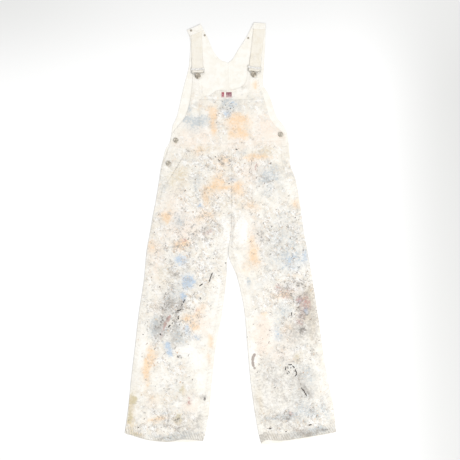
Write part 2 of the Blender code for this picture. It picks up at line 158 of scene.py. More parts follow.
# Narrower creases, placed one by one. A crease bows sideways at its middle.
Crease = namedtuple("Crease", "x0 y0 x1 y1 width height bow")
FRONT_CREASES = table(Crease,
    (5, 60, -5, -52, 5, -1.5, 1), (14, 62, 5, -52, 9, 3.0, 1), (24, 58, 44, -30, 18, 1.2, 6),
    (-6, 70, -60, 110, 18, 1.0, 6), (12, 72, 70, 105, 18, 1.0, -6), (-10, 50, -75, 30, 16, 0.9, -5),
    (14, 45, 80, 20, 20, 0.9, 7), (-255, 40, -150, -10, 18, 0.8, 10),
    (-262, -60, -170, -95, 16, 0.7, -8), (-278, -190, -190, -215, 14, 0.9, 9),
    (-60, -170, -160, -215, 16, 0.8, -9), (-290, -265, -150, -250, 18, 0.9, 14),
    (-300, -345, -200, -370, 15, -0.6, -10), (-70, -300, -170, -340, 17, 0.8, 8),
    (-90, -480, -200, -455, 15, 0.7, -9), (-325, -470, -240, -500, 16, 0.8, 8),
    (-335, -575, -250, -560, 15, 0.8, -7), (-330, -625, -225, -655, 14, 1.3, -9),
    (-215, -640, -150, -668, 12, 1.2, 12), (-170, -610, -95, -640, 13, 0.9, 8),
    (-255, -590, -170, -612, 15, -0.6, 5), (230, 20, 130, -20, 18, 0.8, -9),
    (250, -60, 160, -100, 16, 0.8, 9), (265, -170, 170, -190, 15, 0.7, -9),
    (40, -230, 150, -260, 15, 0.8, 10), (285, -250, 200, -300, 16, 0.9, 10),
    (60, -360, 170, -385, 15, 0.7, -9), (310, -390, 220, -420, 16, 0.8, 9),
    (80, -520, 190, -545, 14, 0.7, 8), (340, -545, 250, -560, 15, -0.6, -7),
    (330, -608, 290, -652, 12, 1.5, 16), (98, -632, 200, -622, 12, 1.2, -6),
    (215, -640, 300, -655, 14, 0.9, 7), (-190, 330, -110, 345, 14, 0.7, 6),
    (165, 345, 80, 338, 14, 0.7, -6), (-160, 385, -110, 450, 12, 0.8, -6),
    (128, 400, 96, 470, 12, 0.8, 5), (-104, 540, -99, 470, 9, 1.6, -3),
    (66, 545, 60, 478, 9, 1.4, 4), (-120, 530, -118, 450, 10, 0.9, -3),
    (88, 530, 88, 455, 9, 0.8, 3), (-85, 462, -40, 482, 10, 0.8, 4), (20, 486, 60, 500, 9, 0.7, -3),
    (-232, 215, -200, 120, 14, 0.8, 6), (205, 190, 190, 90, 14, 0.8, -6),
    (-110, 270, -95, 200, 12, 0.6, 5), (100, 270, 92, 190, 12, 0.6, -4),
)
BACK_CREASES = table(Crease,
    (-100, 640, -60, 520, 16, 0.5, 8), (90, 650, 60, 520, 16, 0.5, -8),
    (-60, 590, -10, 560, 14, 0.4, -5), (20, 590, -5, 540, 14, 0.4, 5),
    (-180, 380, -60, 350, 20, 0.4, 9), (160, 380, 60, 340, 20, 0.4, -9),
    (-240, 120, -90, 60, 22, 0.4, 12), (220, 110, 90, 50, 22, 0.4, -12),
    (-280, -120, -120, -190, 22, 0.4, 14), (250, -120, 110, -180, 22, 0.4, -12),
    (-300, -330, -110, -300, 22, 0.4, -12), (290, -320, 90, -350, 22, 0.4, 12),
    (-320, -520, -120, -560, 22, 0.4, 12), (320, -520, 110, -570, 22, 0.4, -12),
)

# Paint and dirt. A mark lies at a pixel of the photograph; its half width and half length
# are in millimetres, and it leans by some degrees from upright. Its strength is up to 1.
Mark = namedtuple("Mark", "px py wide long lean strength")


def marks(*rows):
    return [Mark(*row) for row in rows]


PAINT = {
    "orange": marks(
        (239, 121, 32, 20, 0, 1.0), (240, 133, 29, 21, 0, 1.0), (233, 130, 14, 32, 0, 0.7),
        (214, 113, 16, 24, -15, 0.85), (214, 128, 11, 26, -10, 0.85), (255, 85, 18, 17, 20, 0.7),
        (202, 105, 12, 16, 0, 0.45), (236, 189, 24, 26, 0, 1.0), (217, 183, 24, 42, 10, 0.85),
        (225, 186, 50, 6, -2, 0.8), (222, 160, 22, 16, 30, 0.7), (256, 158, 52, 10, -2, 0.75),
        (251, 207, 30, 20, 0, 0.7), (206, 216, 44, 18, -10, 0.6), (166, 216, 17, 16, 30, 0.95),
        (182, 245, 27, 12, -10, 1.0), (152, 246, 22, 22, 0, 0.55), (252, 245, 17, 56, -12, 0.7),
        (255, 257, 13, 22, -12, 0.95), (187, 317, 16, 14, 0, 1.0), (195, 326, 17, 15, 20, 1.0),
        (198, 313, 20, 16, -30, 0.5), (148, 368, 15, 58, 8, 0.85), (150, 356, 14, 26, 20, 0.6),
        (210, 341, 10, 20, 0, 0.75), (208, 358, 9, 20, 0, 0.5), (156, 420, 32, 10, -5, 0.8),
        (264, 315, 14, 12, 0, 0.6), (288, 327, 22, 22, 0, 0.45), (295, 203, 17, 16, 0, 0.6),
        (282, 295, 34, 14, -10, 0.65), (205, 197, 12, 30, 5, 0.8), (199, 152, 28, 18, -30, 0.55),
        (247, 268, 26, 34, 0, 0.42), (152, 402, 20, 30, 0, 0.4), (204, 305, 14, 22, 30, 0.5),
    ),
    "peach": marks(
        (264, 331, 26, 50, 0, 0.9), (262, 345, 20, 26, 0, 0.8), (265, 128, 40, 46, 0, 0.6),
        (200, 133, 40, 34, 0, 0.5), (236, 145, 80, 22, -5, 0.5), (186, 228, 60, 40, -10, 0.55),
        (155, 262, 30, 60, 0, 0.5), (252, 232, 40, 60, 0, 0.4), (200, 322, 34, 50, 0, 0.55),
        (282, 355, 36, 30, 0, 0.5), (160, 310, 40, 40, 0, 0.4), (250, 175, 60, 44, 0, 0.5),
        (172, 205, 50, 60, 0, 0.45), (190, 405, 30, 40, 0, 0.45), (288, 335, 36, 30, 0, 0.4),
        (282, 130, 34, 50, 0, 0.4), (186, 142, 50, 30, 0, 0.4), (240, 85, 30, 12, -20, 0.4),
        (214, 80, 20, 12, -10, 0.35), (213, 365, 14, 34, 0, 0.3),
    ),
    "ochre": marks(
        (132, 406, 13, 44, 8, 0.9), (131, 424, 14, 24, 0, 0.9), (137, 434, 26, 8, 15, 0.7),
        (182, 389, 10, 20, 0, 0.6), (261, 402, 14, 50, -8, 0.6), (299, 358, 14, 16, 0, 0.6),
        (178, 176, 32, 46, 0, 0.55), (205, 150, 40, 16, -10, 0.55), (262, 152, 60, 14, -4, 0.5),
        (312, 322, 15, 70, -6, 0.9), (311, 296, 16, 28, 0, 0.9), (164, 278, 34, 36, 0, 0.45),
        (168, 398, 44, 22, -10, 0.45), (178, 421, 18, 12, 0, 0.8), (210, 190, 20, 50, 8, 0.5),
        (276, 167, 26, 22, 0, 0.4), (232, 204, 50, 18, -5, 0.4), (272, 437, 36, 8, -2, 0.5),
        (193, 426, 18, 16, 0, 0.5),
    ),
    "olive": marks(
        (132, 400, 11, 24, 6, 1.0), (130, 418, 8, 18, 10, 0.95), (135, 433, 18, 5, 15, 0.8),
        (178, 419, 10, 11, -20, 0.85), (182, 388, 6, 13, 0, 0.8), (299, 357, 9, 10, 0, 0.5),
        (171, 435, 26, 4, 0, 0.5), (309, 300, 12, 26, 0, 0.4), (162, 272, 20, 22, 0, 0.3),
        (174, 180, 34, 54, 0, 0.32), (190, 168, 30, 26, 0, 0.24), (196, 142, 40, 16, -8, 0.2),
        (166, 214, 26, 50, 0, 0.24), (286, 160, 24, 24, 0, 0.26), (300, 300, 14, 20, 0, 0.3),
    ),
    "blue": marks(
        (187, 284, 20, 17, -10, 0.8),
        (189, 281, 17, 24, -12, 1.15), (184, 298, 11, 13, 0, 1.0), (180, 260, 22, 20, -30, 0.85),
        (168, 350, 12, 22, -28, 1.0), (187, 329, 14, 18, 0, 0.7), (200, 205, 8, 7, 0, 0.9),
        (234, 179, 20, 9, -10, 0.5), (306, 256, 9, 22, -8, 0.7), (298, 300, 14, 10, -30, 0.6),
        (305, 310, 6, 9, 0, 1.0), (226, 113, 15, 13, 0, 0.7), (234, 104, 16, 12, 0, 0.45),
        (276, 334, 14, 30, 0, 0.4), (196, 337, 14, 10, 0, 0.5), (292, 262, 50, 40, 0, 0.35),
    ),
    "slate": marks(
        (176, 298, 34, 46, 15, 0.45), (156, 326, 26, 36, 20, 0.45), (190, 119, 30, 7, -10, 1.0),
        (194, 118.5, 38, 11, -6, 1.15), (202, 123, 30, 9, -10, 0.8), (190, 108, 9, 12, 20, 0.8),
        (231, 106, 30, 26, 0, 0.75), (224, 105, 12, 14, 0, 0.6), (268, 173, 42, 26, -10, 0.75),
        (268, 180, 30, 6, -10, 0.95), (272, 190, 40, 26, 0, 0.4), (197, 184, 16, 40, 0, 0.42),
        (180, 221, 20, 32, 0, 0.65), (171, 246, 14, 5, -5, 0.9), (283, 215, 36, 34, 0, 0.34),
        (285, 240, 72, 48, 0, 0.5), (288, 262, 66, 36, 0, 0.55), (262, 283, 40, 20, -30, 0.45),
        (247, 283, 8, 12, 0, 0.8), (168, 300, 30, 44, 18, 0.4), (158, 328, 26, 36, 30, 0.6),
        (177, 335, 20, 26, 0, 0.85), (284, 310, 28, 34, 0, 0.55), (278, 332, 22, 32, 0, 0.5),
        (283, 360, 34, 28, 0, 0.25), (308, 374, 26, 34, -20, 0.5), (276, 379, 24, 26, 0, 0.25),
        (300, 398, 44, 34, 0, 0.25), (308, 411, 62, 24, -5, 0.5), (288, 418, 48, 16, -10, 0.6),
        (274, 418, 38, 7, 0, 0.8), (165, 413, 16, 7, 0, 0.7), (166, 438, 62, 7, 2, 0.75),
        (188, 434, 46, 10, -5, 0.6), (312, 432, 66, 14, -8, 0.9), (245, 150, 26, 16, -10, 0.35),
        (196, 128, 36, 20, -10, 0.5), (232, 215, 12, 10, 0, 0.3), (186, 345, 22, 30, 0, 0.35),
        (163, 190, 22, 44, 0, 0.4), (175, 390, 38, 36, 0, 0.3), (326, 410, 12, 40, -12, 0.55),
        (300, 345, 40, 26, 0, 0.25), (298, 376, 60, 60, 0, 0.3), (304, 400, 30, 40, 0, 0.3),
    ),
    "grey": marks(
        (303, 305, 40, 54, 0, 0.5), (268, 436, 48, 9, 0, 0.7), (312, 318, 16, 70, -6, 0.5),
        (312, 318, 14, 84, -6, 0.75), (292, 385, 96, 80, 0, 0.6), (264, 405, 40, 66, -8, 0.4),
        (290, 425, 90, 26, 10, 0.55), (268, 372, 36, 50, 0, 0.4), (175, 425, 90, 26, 0, 0.4),
        (300, 336, 60, 34, 0, 0.5), (304, 392, 16, 26, -36, 0.8), (172, 302, 40, 56, 18, 0.4),
        (160, 328, 30, 34, 30, 0.5), (176, 338, 22, 30, 0, 0.6), (268, 258, 18, 20, 0, 0.35),
        (165, 270, 40, 40, 0, 0.35),
        (200, 290, 34, 50, 0, 0.25), (283, 350, 44, 40, 0, 0.2), (185, 395, 60, 60, 0, 0.25),
        (205, 180, 60, 60, 0, 0.2), (268, 178, 60, 60, 0, 0.3), (285, 250, 80, 70, 0, 0.2),
        (180, 225, 60, 50, 0, 0.3), (197, 160, 70, 40, 0, 0.2), (240, 108, 40, 24, 0, 0.3),
        (252, 302, 22, 24, 0, 0.35), (205, 398, 9, 13, 0, 0.8), (178, 273, 22, 20, 0, 0.55),
        (193, 427, 18, 18, 0, 0.6), (199, 415, 14, 18, 0, 0.55), (244, 86, 12, 12, 0, 0.6),
        (293, 326, 26, 34, 0, 0.55), (163, 337, 14, 14, 20, 0.5), (304, 431, 26, 10, -6, 0.6),
    ),
    "dark": marks(
        (170, 300, 31, 38, 15, 0.46), (164, 315, 20, 30, 20, 0.42), (157, 328, 18, 29, 28, 0.7),
        (178, 312, 9, 34, 24, 0.75), (303, 312, 22, 36, -8, 0.56), (301, 330, 18, 22, 0, 0.85),
        (287, 287, 16, 14, 0, 0.75), (301, 283, 14, 13, 0, 0.75), (305, 291, 14, 12, 0, 0.7),
        (304, 391, 9, 18, -36, 1.15), (305, 434, 26, 8, -6, 1.1), (322, 431, 30, 6, -8, 0.8),
        (287, 411, 11, 18, 0, 0.5), (289, 417, 10, 8, 0, 0.45), (178, 420, 16, 10, 20, 0.85),
        (196, 420, 9, 12, 0, 0.6), (262, 178, 20, 4, -10, 0.9), (221, 106, 10, 10, 0, 0.65),
        (224, 162, 14, 9, 50, 0.7), (209, 229, 28, 14, -20, 0.6), (260, 233, 16, 26, 0, 0.55),
        (279, 434, 26, 6, -2, 0.5), (170, 439, 52, 4, 2, 0.7), (154, 412, 14, 8, -20, 0.6),
        (205, 398, 6, 9, 0, 0.9), (179, 357, 6, 7, 0, 0.9), (292, 417, 60, 6, -10, 0.45),
        (205, 193, 10, 24, 0, 0.5), (276, 237, 44, 50, 0, 0.3), (250, 168, 3, 22, 0, 0.6),
        (294, 296, 40, 14, -10, 0.42), (270, 300, 12, 12, 0, 0.35), (187, 150, 14, 10, -30, 0.5),
        (178, 273, 16, 14, 0, 0.4), (303, 431, 24, 7, -6, 0.5), (162, 337, 12, 12, 20, 0.4),
    ),
    "red": marks(
        (303, 306, 26, 44, 0, 0.34), (294, 288, 30, 14, -20, 0.3),
        (164, 328, 7, 34, 26, 0.8), (167, 322, 6, 14, 24, 0.8), (304, 303, 14, 22, 0, 0.7),
        (299, 322, 16, 18, 0, 0.5), (284, 296, 20, 12, -20, 0.45), (189, 402, 8, 16, 0, 0.7),
        (197, 310, 14, 5, -30, 0.6), (280, 287, 16, 14, 0, 0.55), (289, 414, 8, 9, 0, 0.7),
        (184, 242, 16, 8, -10, 0.5), (256, 168, 5, 10, 0, 0.7), (208, 233, 24, 10, -20, 0.5),
    ),
    "white": marks(
        (288, 386, 12, 34, 0, 0.5), (270, 260, 16, 26, 0, 0.4), (243, 231, 26, 52, 0, 1.0),
        (226, 232, 14, 56, 0, 0.9), (190, 352, 34, 26, 0, 0.7), (201, 380, 24, 30, 0, 0.5),
        (141, 350, 14, 70, 8, 0.7), (252, 355, 14, 60, 0, 0.8), (219, 300, 12, 50, 0, 0.6),
        (276, 222, 20, 10, -30, 0.5), (260, 430, 10, 20, 0, 0.5), (248, 300, 10, 40, 0, 0.5),
        (228, 146, 30, 8, -4, 0.4), (240, 262, 18, 26, 0, 0.4), (205, 340, 14, 20, 0, 0.4),
        (196, 362, 26, 30, 0, 0.55), (161, 376, 20, 40, 0, 0.45), (270, 335, 18, 44, 0, 0.5),
        (268, 398, 18, 34, 0, 0.45), (180, 352, 14, 18, 0, 0.4), (160, 284, 14, 22, 0, 0.4),
    ),
    "stain": marks(
        (230, 120, 96, 84, 0, 0.72), (225, 170, 190, 110, 0, 0.9), (215, 222, 170, 90, 0, 0.88),
        (180, 250, 110, 120, 0, 0.85), (172, 310, 90, 130, 0, 0.9), (285, 235, 110, 110, 0, 0.9),
        (292, 295, 100, 90, 0, 1.0), (290, 360, 100, 140, 0, 0.7), (170, 380, 100, 120, 0, 0.62),
        (165, 425, 110, 50, 0, 0.75), (300, 420, 120, 60, 0, 0.9), (205, 270, 60, 80, 0, 0.5),
        (262, 345, 40, 90, 0, 0.3), (196, 108, 50, 50, 0, 0.4), (262, 112, 44, 56, 0, 0.5),
    ),
    "spatter": marks(
        (228, 112, 60, 34, 0, 0.32), (225, 170, 170, 90, 0, 0.36), (215, 222, 150, 80, 0, 0.42),
        (180, 250, 90, 110, 0, 0.46), (172, 310, 80, 120, 0, 0.8), (285, 235, 90, 100, 0, 0.55),
        (295, 295, 84, 80, 0, 0.85), (292, 360, 84, 120, 0, 0.5), (170, 380, 90, 110, 0, 0.32),
        (165, 425, 110, 50, 0, 0.6), (300, 420, 110, 60, 0, 0.75), (205, 270, 60, 80, 0, 0.3),
        (216, 160, 50, 24, 0, 0.3), (262, 345, 40, 90, 0, 0.12),
    ),
}

# Black drips, a brown one and thin grey lines, partly scrapes and partly painted shade along
# creases. A row is a width in millimetres, and then x and y of each pixel of the photograph
# that it passes over.
Line = namedtuple("Line", "wide path")


def lines(*rows):
    return [Line(wide, np.array([photo(*spot) for spot in zip(spots[::2], spots[1::2])]))
            for wide, *spots in rows]


LINES = {
    "drip": lines(
        (2.4, 212.2, 273.2, 211, 276.2, 209.2, 281.6), (2.7, 202.6, 283.8, 199.6, 286),
        (2.4, 213.3, 258, 213.5, 258.8), (2.5, 207, 259, 207.2, 259.3),
        (2.3, 218.6, 275, 219, 275.5), (3.4, 288.6, 364.4, 291.4, 364.6),
        (3, 292.6, 365.8, 294.4, 367.6), (3.2, 286, 366.8, 285.4, 369.6),
        (2.4, 287.6, 366.4, 288.2, 368.2), (3, 295.2, 369.8, 296.4, 372.4),
        (3.2, 296.6, 374, 295.4, 375.6), (2.6, 291.2, 374.6, 293.6, 374.4),
        (2.2, 288.4, 371, 289.6, 372.8), (2, 290.6, 367.4, 291.2, 368.2),
        (1.9, 286.8, 372.6, 287.2, 373.6), (2.4, 301.2, 387.8, 304, 391.2, 306.6, 395.6),
        (2.8, 183.9, 301.4, 183.7, 302.2), (1.9, 177.6, 307.8, 180.2, 308),
        (1.9, 177.4, 310.5, 179.8, 310.3), (2.1, 178, 313.2, 180.4, 313.4),
        (2.2, 178.4, 315.6, 179.4, 315.8), (3.4, 178.2, 317.6, 178.4, 318.6),
        (2, 182.2, 304.4, 181.4, 305.8), (2.3, 199.8, 297.2, 200.6, 298.8),
        (2, 176.4, 319.4, 176, 319.8), (2.3, 174.4, 321.2, 174, 321.6),
        (2.7, 172.8, 322.6, 172.2, 323.2), (2.2, 170.6, 324.6, 170.2, 325),
        (3.4, 169.4, 325.8, 168.6, 326.8), (2.3, 185, 299.4, 184.8, 300.2),
        (2.6, 180.4, 309.6, 180.1, 310.2), (2.2, 182.8, 309, 183, 309.4),
        (2.2, 179.2, 324.2, 179, 324.6), (3.2, 160.2, 334, 160.8, 334.6),
        (2.2, 177.3, 334, 177.7, 334.6), (2.5, 143, 334, 143.1, 334.4),
        (2.5, 154.6, 349.2, 154.9, 349.5), (2.5, 182.5, 382.4, 182.8, 382.7),
        (2.6, 192.2, 379.2, 192.6, 379.9), (2.3, 196.3, 390.2, 196.5, 390.6),
        (2.6, 138.2, 427.4, 139, 427), (2.3, 144, 419, 144.5, 418.6),
        (2.2, 169.8, 438, 170.2, 438.8), (2.3, 268.4, 429, 271.6, 428.2),
        (2.6, 285.6, 431.8, 286.2, 431.4), (2.2, 309, 425.2, 311.4, 424.2),
        (2.3, 302.2, 414.6, 302.6, 414.8), (2.5, 279.6, 440.8, 279.8, 441.6),
        (2.6, 246.9, 336.8, 247, 337.2), (2.1, 239.4, 274.2, 239.6, 274.5),
        (2.3, 225.6, 262.8, 225.8, 263.1), (2.3, 291.6, 312.6, 291.4, 315.2),
        (2.1, 286.8, 226.6, 287, 227), (2.3, 271.6, 226.6, 271.9, 226.9),
        (2.1, 263.3, 223.2, 263.5, 223.6), (2.1, 295, 217.4, 296, 218),
        (2.1, 225.4, 105, 225.8, 105.4), (1.9, 236.8, 106.2, 237.4, 106.6),
        (1.9, 230.8, 103.4, 231.2, 103.8), (2, 227.2, 108.8, 227.8, 109.2),
        (2.3, 230, 108.4, 230.3, 108.7), (2.5, 233.4, 107.6, 234, 107.3),
        (2, 222.3, 101.2, 222.6, 101.5), (2.5, 236, 149.2, 237.2, 149.6),
        (2.1, 215.2, 156.6, 215.5, 156.9), (2.3, 218.2, 159.8, 219.4, 161),
        (2.1, 227.8, 183.2, 229.2, 183.6), (2.1, 288, 246.6, 288.4, 247),
        (2.1, 303.4, 250, 303.7, 250.3), (2, 290.3, 238.8, 290.6, 239.1),
        (2.3, 177.5, 355.8, 178.3, 357.2), (2.6, 204.6, 397.6, 205.4, 399),
    ),
    "brown_drip": lines(
        (8, 254.4, 354.6, 253, 357.4, 252.7, 360.2), (7.6, 252.9, 362.6, 253.3, 365.6),
        (6.4, 254.3, 367.8, 254.7, 368.2),
    ),
    "scrape": lines(
        (3.2, 203.2, 184.6, 202.4, 193, 202.8, 202.4), (3, 251.6, 159.8, 251.2, 168, 251, 177.2),
        (3, 256.4, 162.4, 257.6, 167.2, 256.8, 172.6),
        (3, 262.2, 181.8, 267.6, 182.4, 274.4, 179.6), (2.8, 266.8, 186, 272, 184.2),
        (2.8, 229, 180.6, 233.8, 178.4), (3, 214.8, 156.4, 218.2, 159.2, 222.6, 164.2, 226, 166.4),
        (2.8, 213, 171.6, 216.4, 173.8, 217.6, 177.6), (2.8, 226.2, 109.6, 231.6, 109),
        (2.8, 186.2, 154.6, 189.4, 151.2), (2.8, 292.8, 216.4, 296.6, 219.2, 295.2, 223.4),
        (2.8, 263, 222, 264.8, 227, 268, 231.6), (3, 272.4, 276, 276, 280.6, 280.6, 287.4),
        (3.4, 298.6, 278.4, 303, 281.8, 304.6, 286.6),
        (3.2, 286.4, 283.8, 289.2, 288.4, 294.4, 290.8),
        (3.2, 296.8, 303.4, 303.4, 299.8, 309.6, 304.6, 311, 312.8),
        (3, 297, 307, 294.8, 314.6, 297.6, 322.4),
        (3.4, 296.4, 331.4, 300.8, 334.2, 303.6, 329.6, 302, 323.4),
        (2.8, 305.8, 343.6, 313, 348.2, 320.4, 358), (3.6, 297.8, 378, 301, 384.6, 306.6, 395),
        (3, 270.4, 417.8, 280.2, 419, 290.4, 415.2), (3, 262.6, 430.4, 269.8, 427.4, 281, 428.8),
        (3.2, 160.8, 427.6, 168.4, 425.4, 176.2, 428.4, 184.8, 425.8),
        (2.8, 138.6, 428.2, 140.4, 424.6, 146, 422.2), (3, 195.2, 416.8, 198.4, 419, 196.6, 422.4),
        (3, 175.4, 246.8, 180.2, 245.4, 186, 246.6), (2.8, 147, 321, 148.2, 334, 147.2, 343.6),
        (3.2, 171.2, 291.6, 164.8, 295.4, 165.4, 302, 171.8, 305),
        (3, 176.2, 326.6, 178, 334.4, 175.6, 341.6),
        (2.8, 193.4, 313.4, 200.6, 317.6, 207.2, 315.2),
        (2.8, 205.6, 226.4, 209.8, 224.4, 212.6, 220),
        (2.8, 199.4, 221.2, 203.4, 223.4, 206, 219.6),
        (2.8, 207.4, 241.6, 210.4, 239, 213.2, 238.6),
    ),
}


def smooth_line(knots):
    """A curve through (position, value) knots that never swings past them."""
    spots = np.array([k[0] for k in knots], float)
    values = np.array([k[1] for k in knots], float)
    gaps = np.diff(spots)
    rates = np.diff(values) / gaps
    slopes = np.concatenate(([rates[0]], np.zeros(len(rates) - 1), [rates[-1]]))
    both = rates[:-1] * rates[1:]
    same_way = both > 0
    slopes[1:-1][same_way] = 2 * both[same_way] / (rates[:-1] + rates[1:])[same_way]

    def value_at(spot):
        spot = np.asarray(spot, float)
        i = np.clip(np.searchsorted(spots, spot, side="right") - 1, 0, len(gaps) - 1)
        t = np.clip((spot - spots[i]) / gaps[i], 0, 1)
        m, n = slopes[i] * gaps[i], slopes[i + 1] * gaps[i]
        inside = (values[i] * (1 + 2 * t) * (1 - t) ** 2 + m * t * (1 - t) ** 2
                  + values[i + 1] * t * t * (3 - 2 * t) + n * t * t * (t - 1))
        before = np.minimum(spot - spots[0], 0) * slopes[0]
        after = np.maximum(spot - spots[-1], 0) * slopes[-1]
        return inside + before + after
    return value_at


def column(rows, name):
    return [(row.y, getattr(row, name)) for row in rows]


front_left = smooth_line(column(TROUSERS, "left_outer") + column(ABOVE_WAIST, "bib_left")[1:])
front_right = smooth_line(column(TROUSERS, "right_outer") + column(ABOVE_WAIST, "bib_right")[1:])
left_inner = smooth_line(column(TROUSERS, "left_inner"))
right_inner = smooth_line(column(TROUSERS, "right_inner"))
back_left = smooth_line(column(TROUSERS, "left_outer")[:-1] + column(ABOVE_WAIST, "back_left")
                        + column(ARMS, "left_outer"))
back_right = smooth_line(column(TROUSERS, "right_outer")[:-1] + column(ABOVE_WAIST, "back_right")
                         + column(ARMS, "right_outer"))


def back_middle(edge_name):
    """The centre back seam up to the neck notch, and above it one edge of the notch."""
    notch = smooth_line(column(ARMS, edge_name))
    seam = smooth_line((CROTCH[::-1], (ARMS[0].y, ARMS[0].left_notch)))
    return lambda y: np.where(np.asarray(y) < ARMS[0].y, seam(y), notch(y))


left_notch = back_middle("left_notch")
right_notch = back_middle("right_notch")


def waist_y(x):
    return WAIST_Y + WAIST_TILT * x


def along_waist(x_left, x_right, rise):
    return ((0, waist_y(x_left) + rise), (1, waist_y(x_right) + rise))


def level(y):
    return ((0, y), (1, y))


def end_line(corners, drop=0.0):
    return tuple((share, y - drop) for share, (x, y) in enumerate(corners))


def inset(line, amount):
    return lambda y: line(y) + amount


def smooth_step(t):
    t = np.clip(t, 0.0, 1.0)
    return t * t * (3 - 2 * t)


def hills(x, y, size, seed):
    """Smooth random hills about size millimetres across, from -1 to 1."""
    lattice = np.random.default_rng(seed).uniform(-1, 1, (256, 256))
    u, v = np.asarray(x) / size + 90.37, np.asarray(y) / size + 91.73
    i, j = np.floor(u).astype(int), np.floor(v).astype(int)
    f, g = smooth_step(u - i), smooth_step(v - j)
    i, j = i % 255, j % 255
    low = lattice[j, i] * (1 - f) + lattice[j, i + 1] * f
    high = lattice[j + 1, i] * (1 - f) + lattice[j + 1, i + 1] * f
    return low * (1 - g) + high * g


def crumple(x, y, seed):
    """The small unevenness of washed canvas."""
    turned_x, turned_y = 0.8 * x + 0.6 * y, 0.8 * y - 0.6 * x
    return (0.42 * hills(x, 0.6 * y, 52, seed)
            + 0.30 * hills(turned_x, 0.5 * turned_y, 24, seed + 1)
            + 0.16 * hills(x, y, 11, seed + 2) + 0.08 * hills(x, y, 6, seed + 3))


def edge_distance(x, y):
    """How far a point of the front lies inside the outline and the fold between the legs."""
    to_side = np.minimum(x - front_left(y), front_right(y) - x)
    middle = (left_inner(y) + right_inner(y)) / 2
    to_fold = np.where(x < middle, left_inner(y) - x, x - right_inner(y))
    to_fold = np.where(y > CROTCH[1], np.hypot(x - CROTCH[0], y - CROTCH[1]), to_fold)
    return np.maximum(0.0, np.minimum(to_side, to_fold))


def fold_height(x, y):
    total = np.zeros_like(x)
    for fold in FOLDS:
        run = np.array((fold.x1 - fold.x0, fold.y1 - fold.y0))
        share = ((x - fold.x0) * run[0] + (y - fold.y0) * run[1]) / (run @ run)
        share = np.clip(share, 0, 1)
        distance = np.hypot(x - fold.x0 - share * run[0], y - fold.y0 - share * run[1])
        inside = distance < fold.width / 2
        total += np.where(inside, fold.height * np.cos(np.pi * distance / fold.width) ** 2, 0)
    return total


def crease_height(creases, x, y):
    total = np.zeros_like(x)
    for number, crease in enumerate(creases):
        run = np.array((crease.x1 - crease.x0, crease.y1 - crease.y0), float)
        length = math.hypot(*run)
        run /= length
        along = (x - crease.x0) * run[0] + (y - crease.y0) * run[1]
        aside = (y - crease.y0) * run[0] - (x - crease.x0) * run[1]
        t = np.clip(along / length, 0, 1)
        away = (aside - crease.bow * 4 * t * (1 - t)) / crease.width
        uneven = 0.8 + 0.35 * hills(x, y, 30, 300 + number)
        total += crease.height * uneven * np.exp(-away * away * 2) * np.sin(np.pi * t) ** 0.7
    return total


def front_low(x, y):
    """The inside of the front layer."""
    inside = edge_distance(x, y)
    settled = smooth_step(inside / 14)
    rise = LOFT * (1 - np.exp(-inside / LOFT_REACH))
    shape = rise + fold_height(x, y)
    shape += settled * (1.35 * crease_height(FRONT_CREASES, x, y) + 1.25 * crumple(x, y, 11))
    return PANEL + LAY + np.maximum(shape, 0.02)


def back_low(x, y):
    """The underside of the back layer: its seams touch the surface, the cloth hardly."""
    shape = UNDER_REST + 0.25 * crease_height(BACK_CREASES, x, y) + 0.18 * crumple(x, y, 51)
    return np.clip(shape, 0.05, 0.75)


def line_points(xs, ys):
    return np.stack([np.broadcast_to(xs, np.shape(ys)), ys], 1).astype(float)


def side_line(line, y0, y1, step=8.0):
    """The points of a side line from one height to another."""
    ys = np.linspace(y0, y1, max(2, int(abs(y1 - y0) / step) + 1))
    return line_points(line(ys), ys)


def cross_line(sides, end, start=0.0, stop=1.0, count=40):
    """The points of an end line, between two shares of the way across."""
    across = np.linspace(start, stop, count)
    ys = smooth_line(end)(across)
    return line_points(sides[0](ys) + (sides[1](ys) - sides[0](ys)) * across, ys)


def beside(line, x, y):
    """Distance of points from a line, and how far along it their nearest point lies."""
    starts, runs = line[:-1], np.diff(line, axis=0)
    lengths = np.hypot(*runs.T)
    before = np.concatenate(([0], np.cumsum(lengths)[:-1]))
    nearest = np.full(x.shape, 1e9)
    along = np.zeros(x.shape)
    for (sx, sy), (rx, ry), length, arc in zip(starts, runs, lengths, before):
        t = np.clip(((x - sx) * rx + (y - sy) * ry) / length ** 2, 0, 1)
        distance = np.hypot(x - sx - t * rx, y - sy - t * ry)
        closer = distance < nearest
        nearest = np.where(closer, distance, nearest)
        along = np.where(closer, arc + t * length, along)
    return nearest, along


# A strip of doubled cloth along a line: where it starts and ends beside the line, how much
# it stands up, and how deep and how far apart the puckers of its stitching are.
Trim = namedtuple("Trim", "line inner outer rise pucker wave")


def trim_parts(trims, x, y):
    """How much the strips stand up, and the puckers of their stitching."""
    rise, puckers = np.zeros_like(x), np.zeros_like(x)
    for number, trim in enumerate(trims):
        distance, along = beside(trim.line, x, y)
        band = (smooth_step((distance - trim.inner) / 1.4 + 1)
                * smooth_step((trim.outer - distance) / 1.4 + 0.5))
        if trim.inner == 0:
            band = smooth_step((trim.outer - distance) / 1.4 + 0.5)
        rise += trim.rise * band
        middle, reach = (trim.inner + trim.outer) / 2, (trim.outer - trim.inner) / 2 + 5
        near = np.exp(-((distance - middle) / reach) ** 2)
        drift = 2.2 * hills(along, distance * 0, 31, 700 + number)
        swell = 0.65 + 0.5 * hills(along, distance * 0, 43, 800 + number)
        phase = math.tau * (along + 0.5 * distance) / trim.wave + drift
        puckers += trim.pucker * near * swell * np.sin(phase)
    return rise, puckers


def mesh_object(name, points, faces, smooth=True):
    mesh = bpy.data.meshes.new(name)
    mesh.from_pydata([tuple(p) for p in points], [], [tuple(f) for f in faces])
    mesh.update()
    if smooth:
        mesh.shade_smooth()
    obj = bpy.data.objects.new(name, mesh)
    bpy.context.collection.objects.link(obj)
    return obj


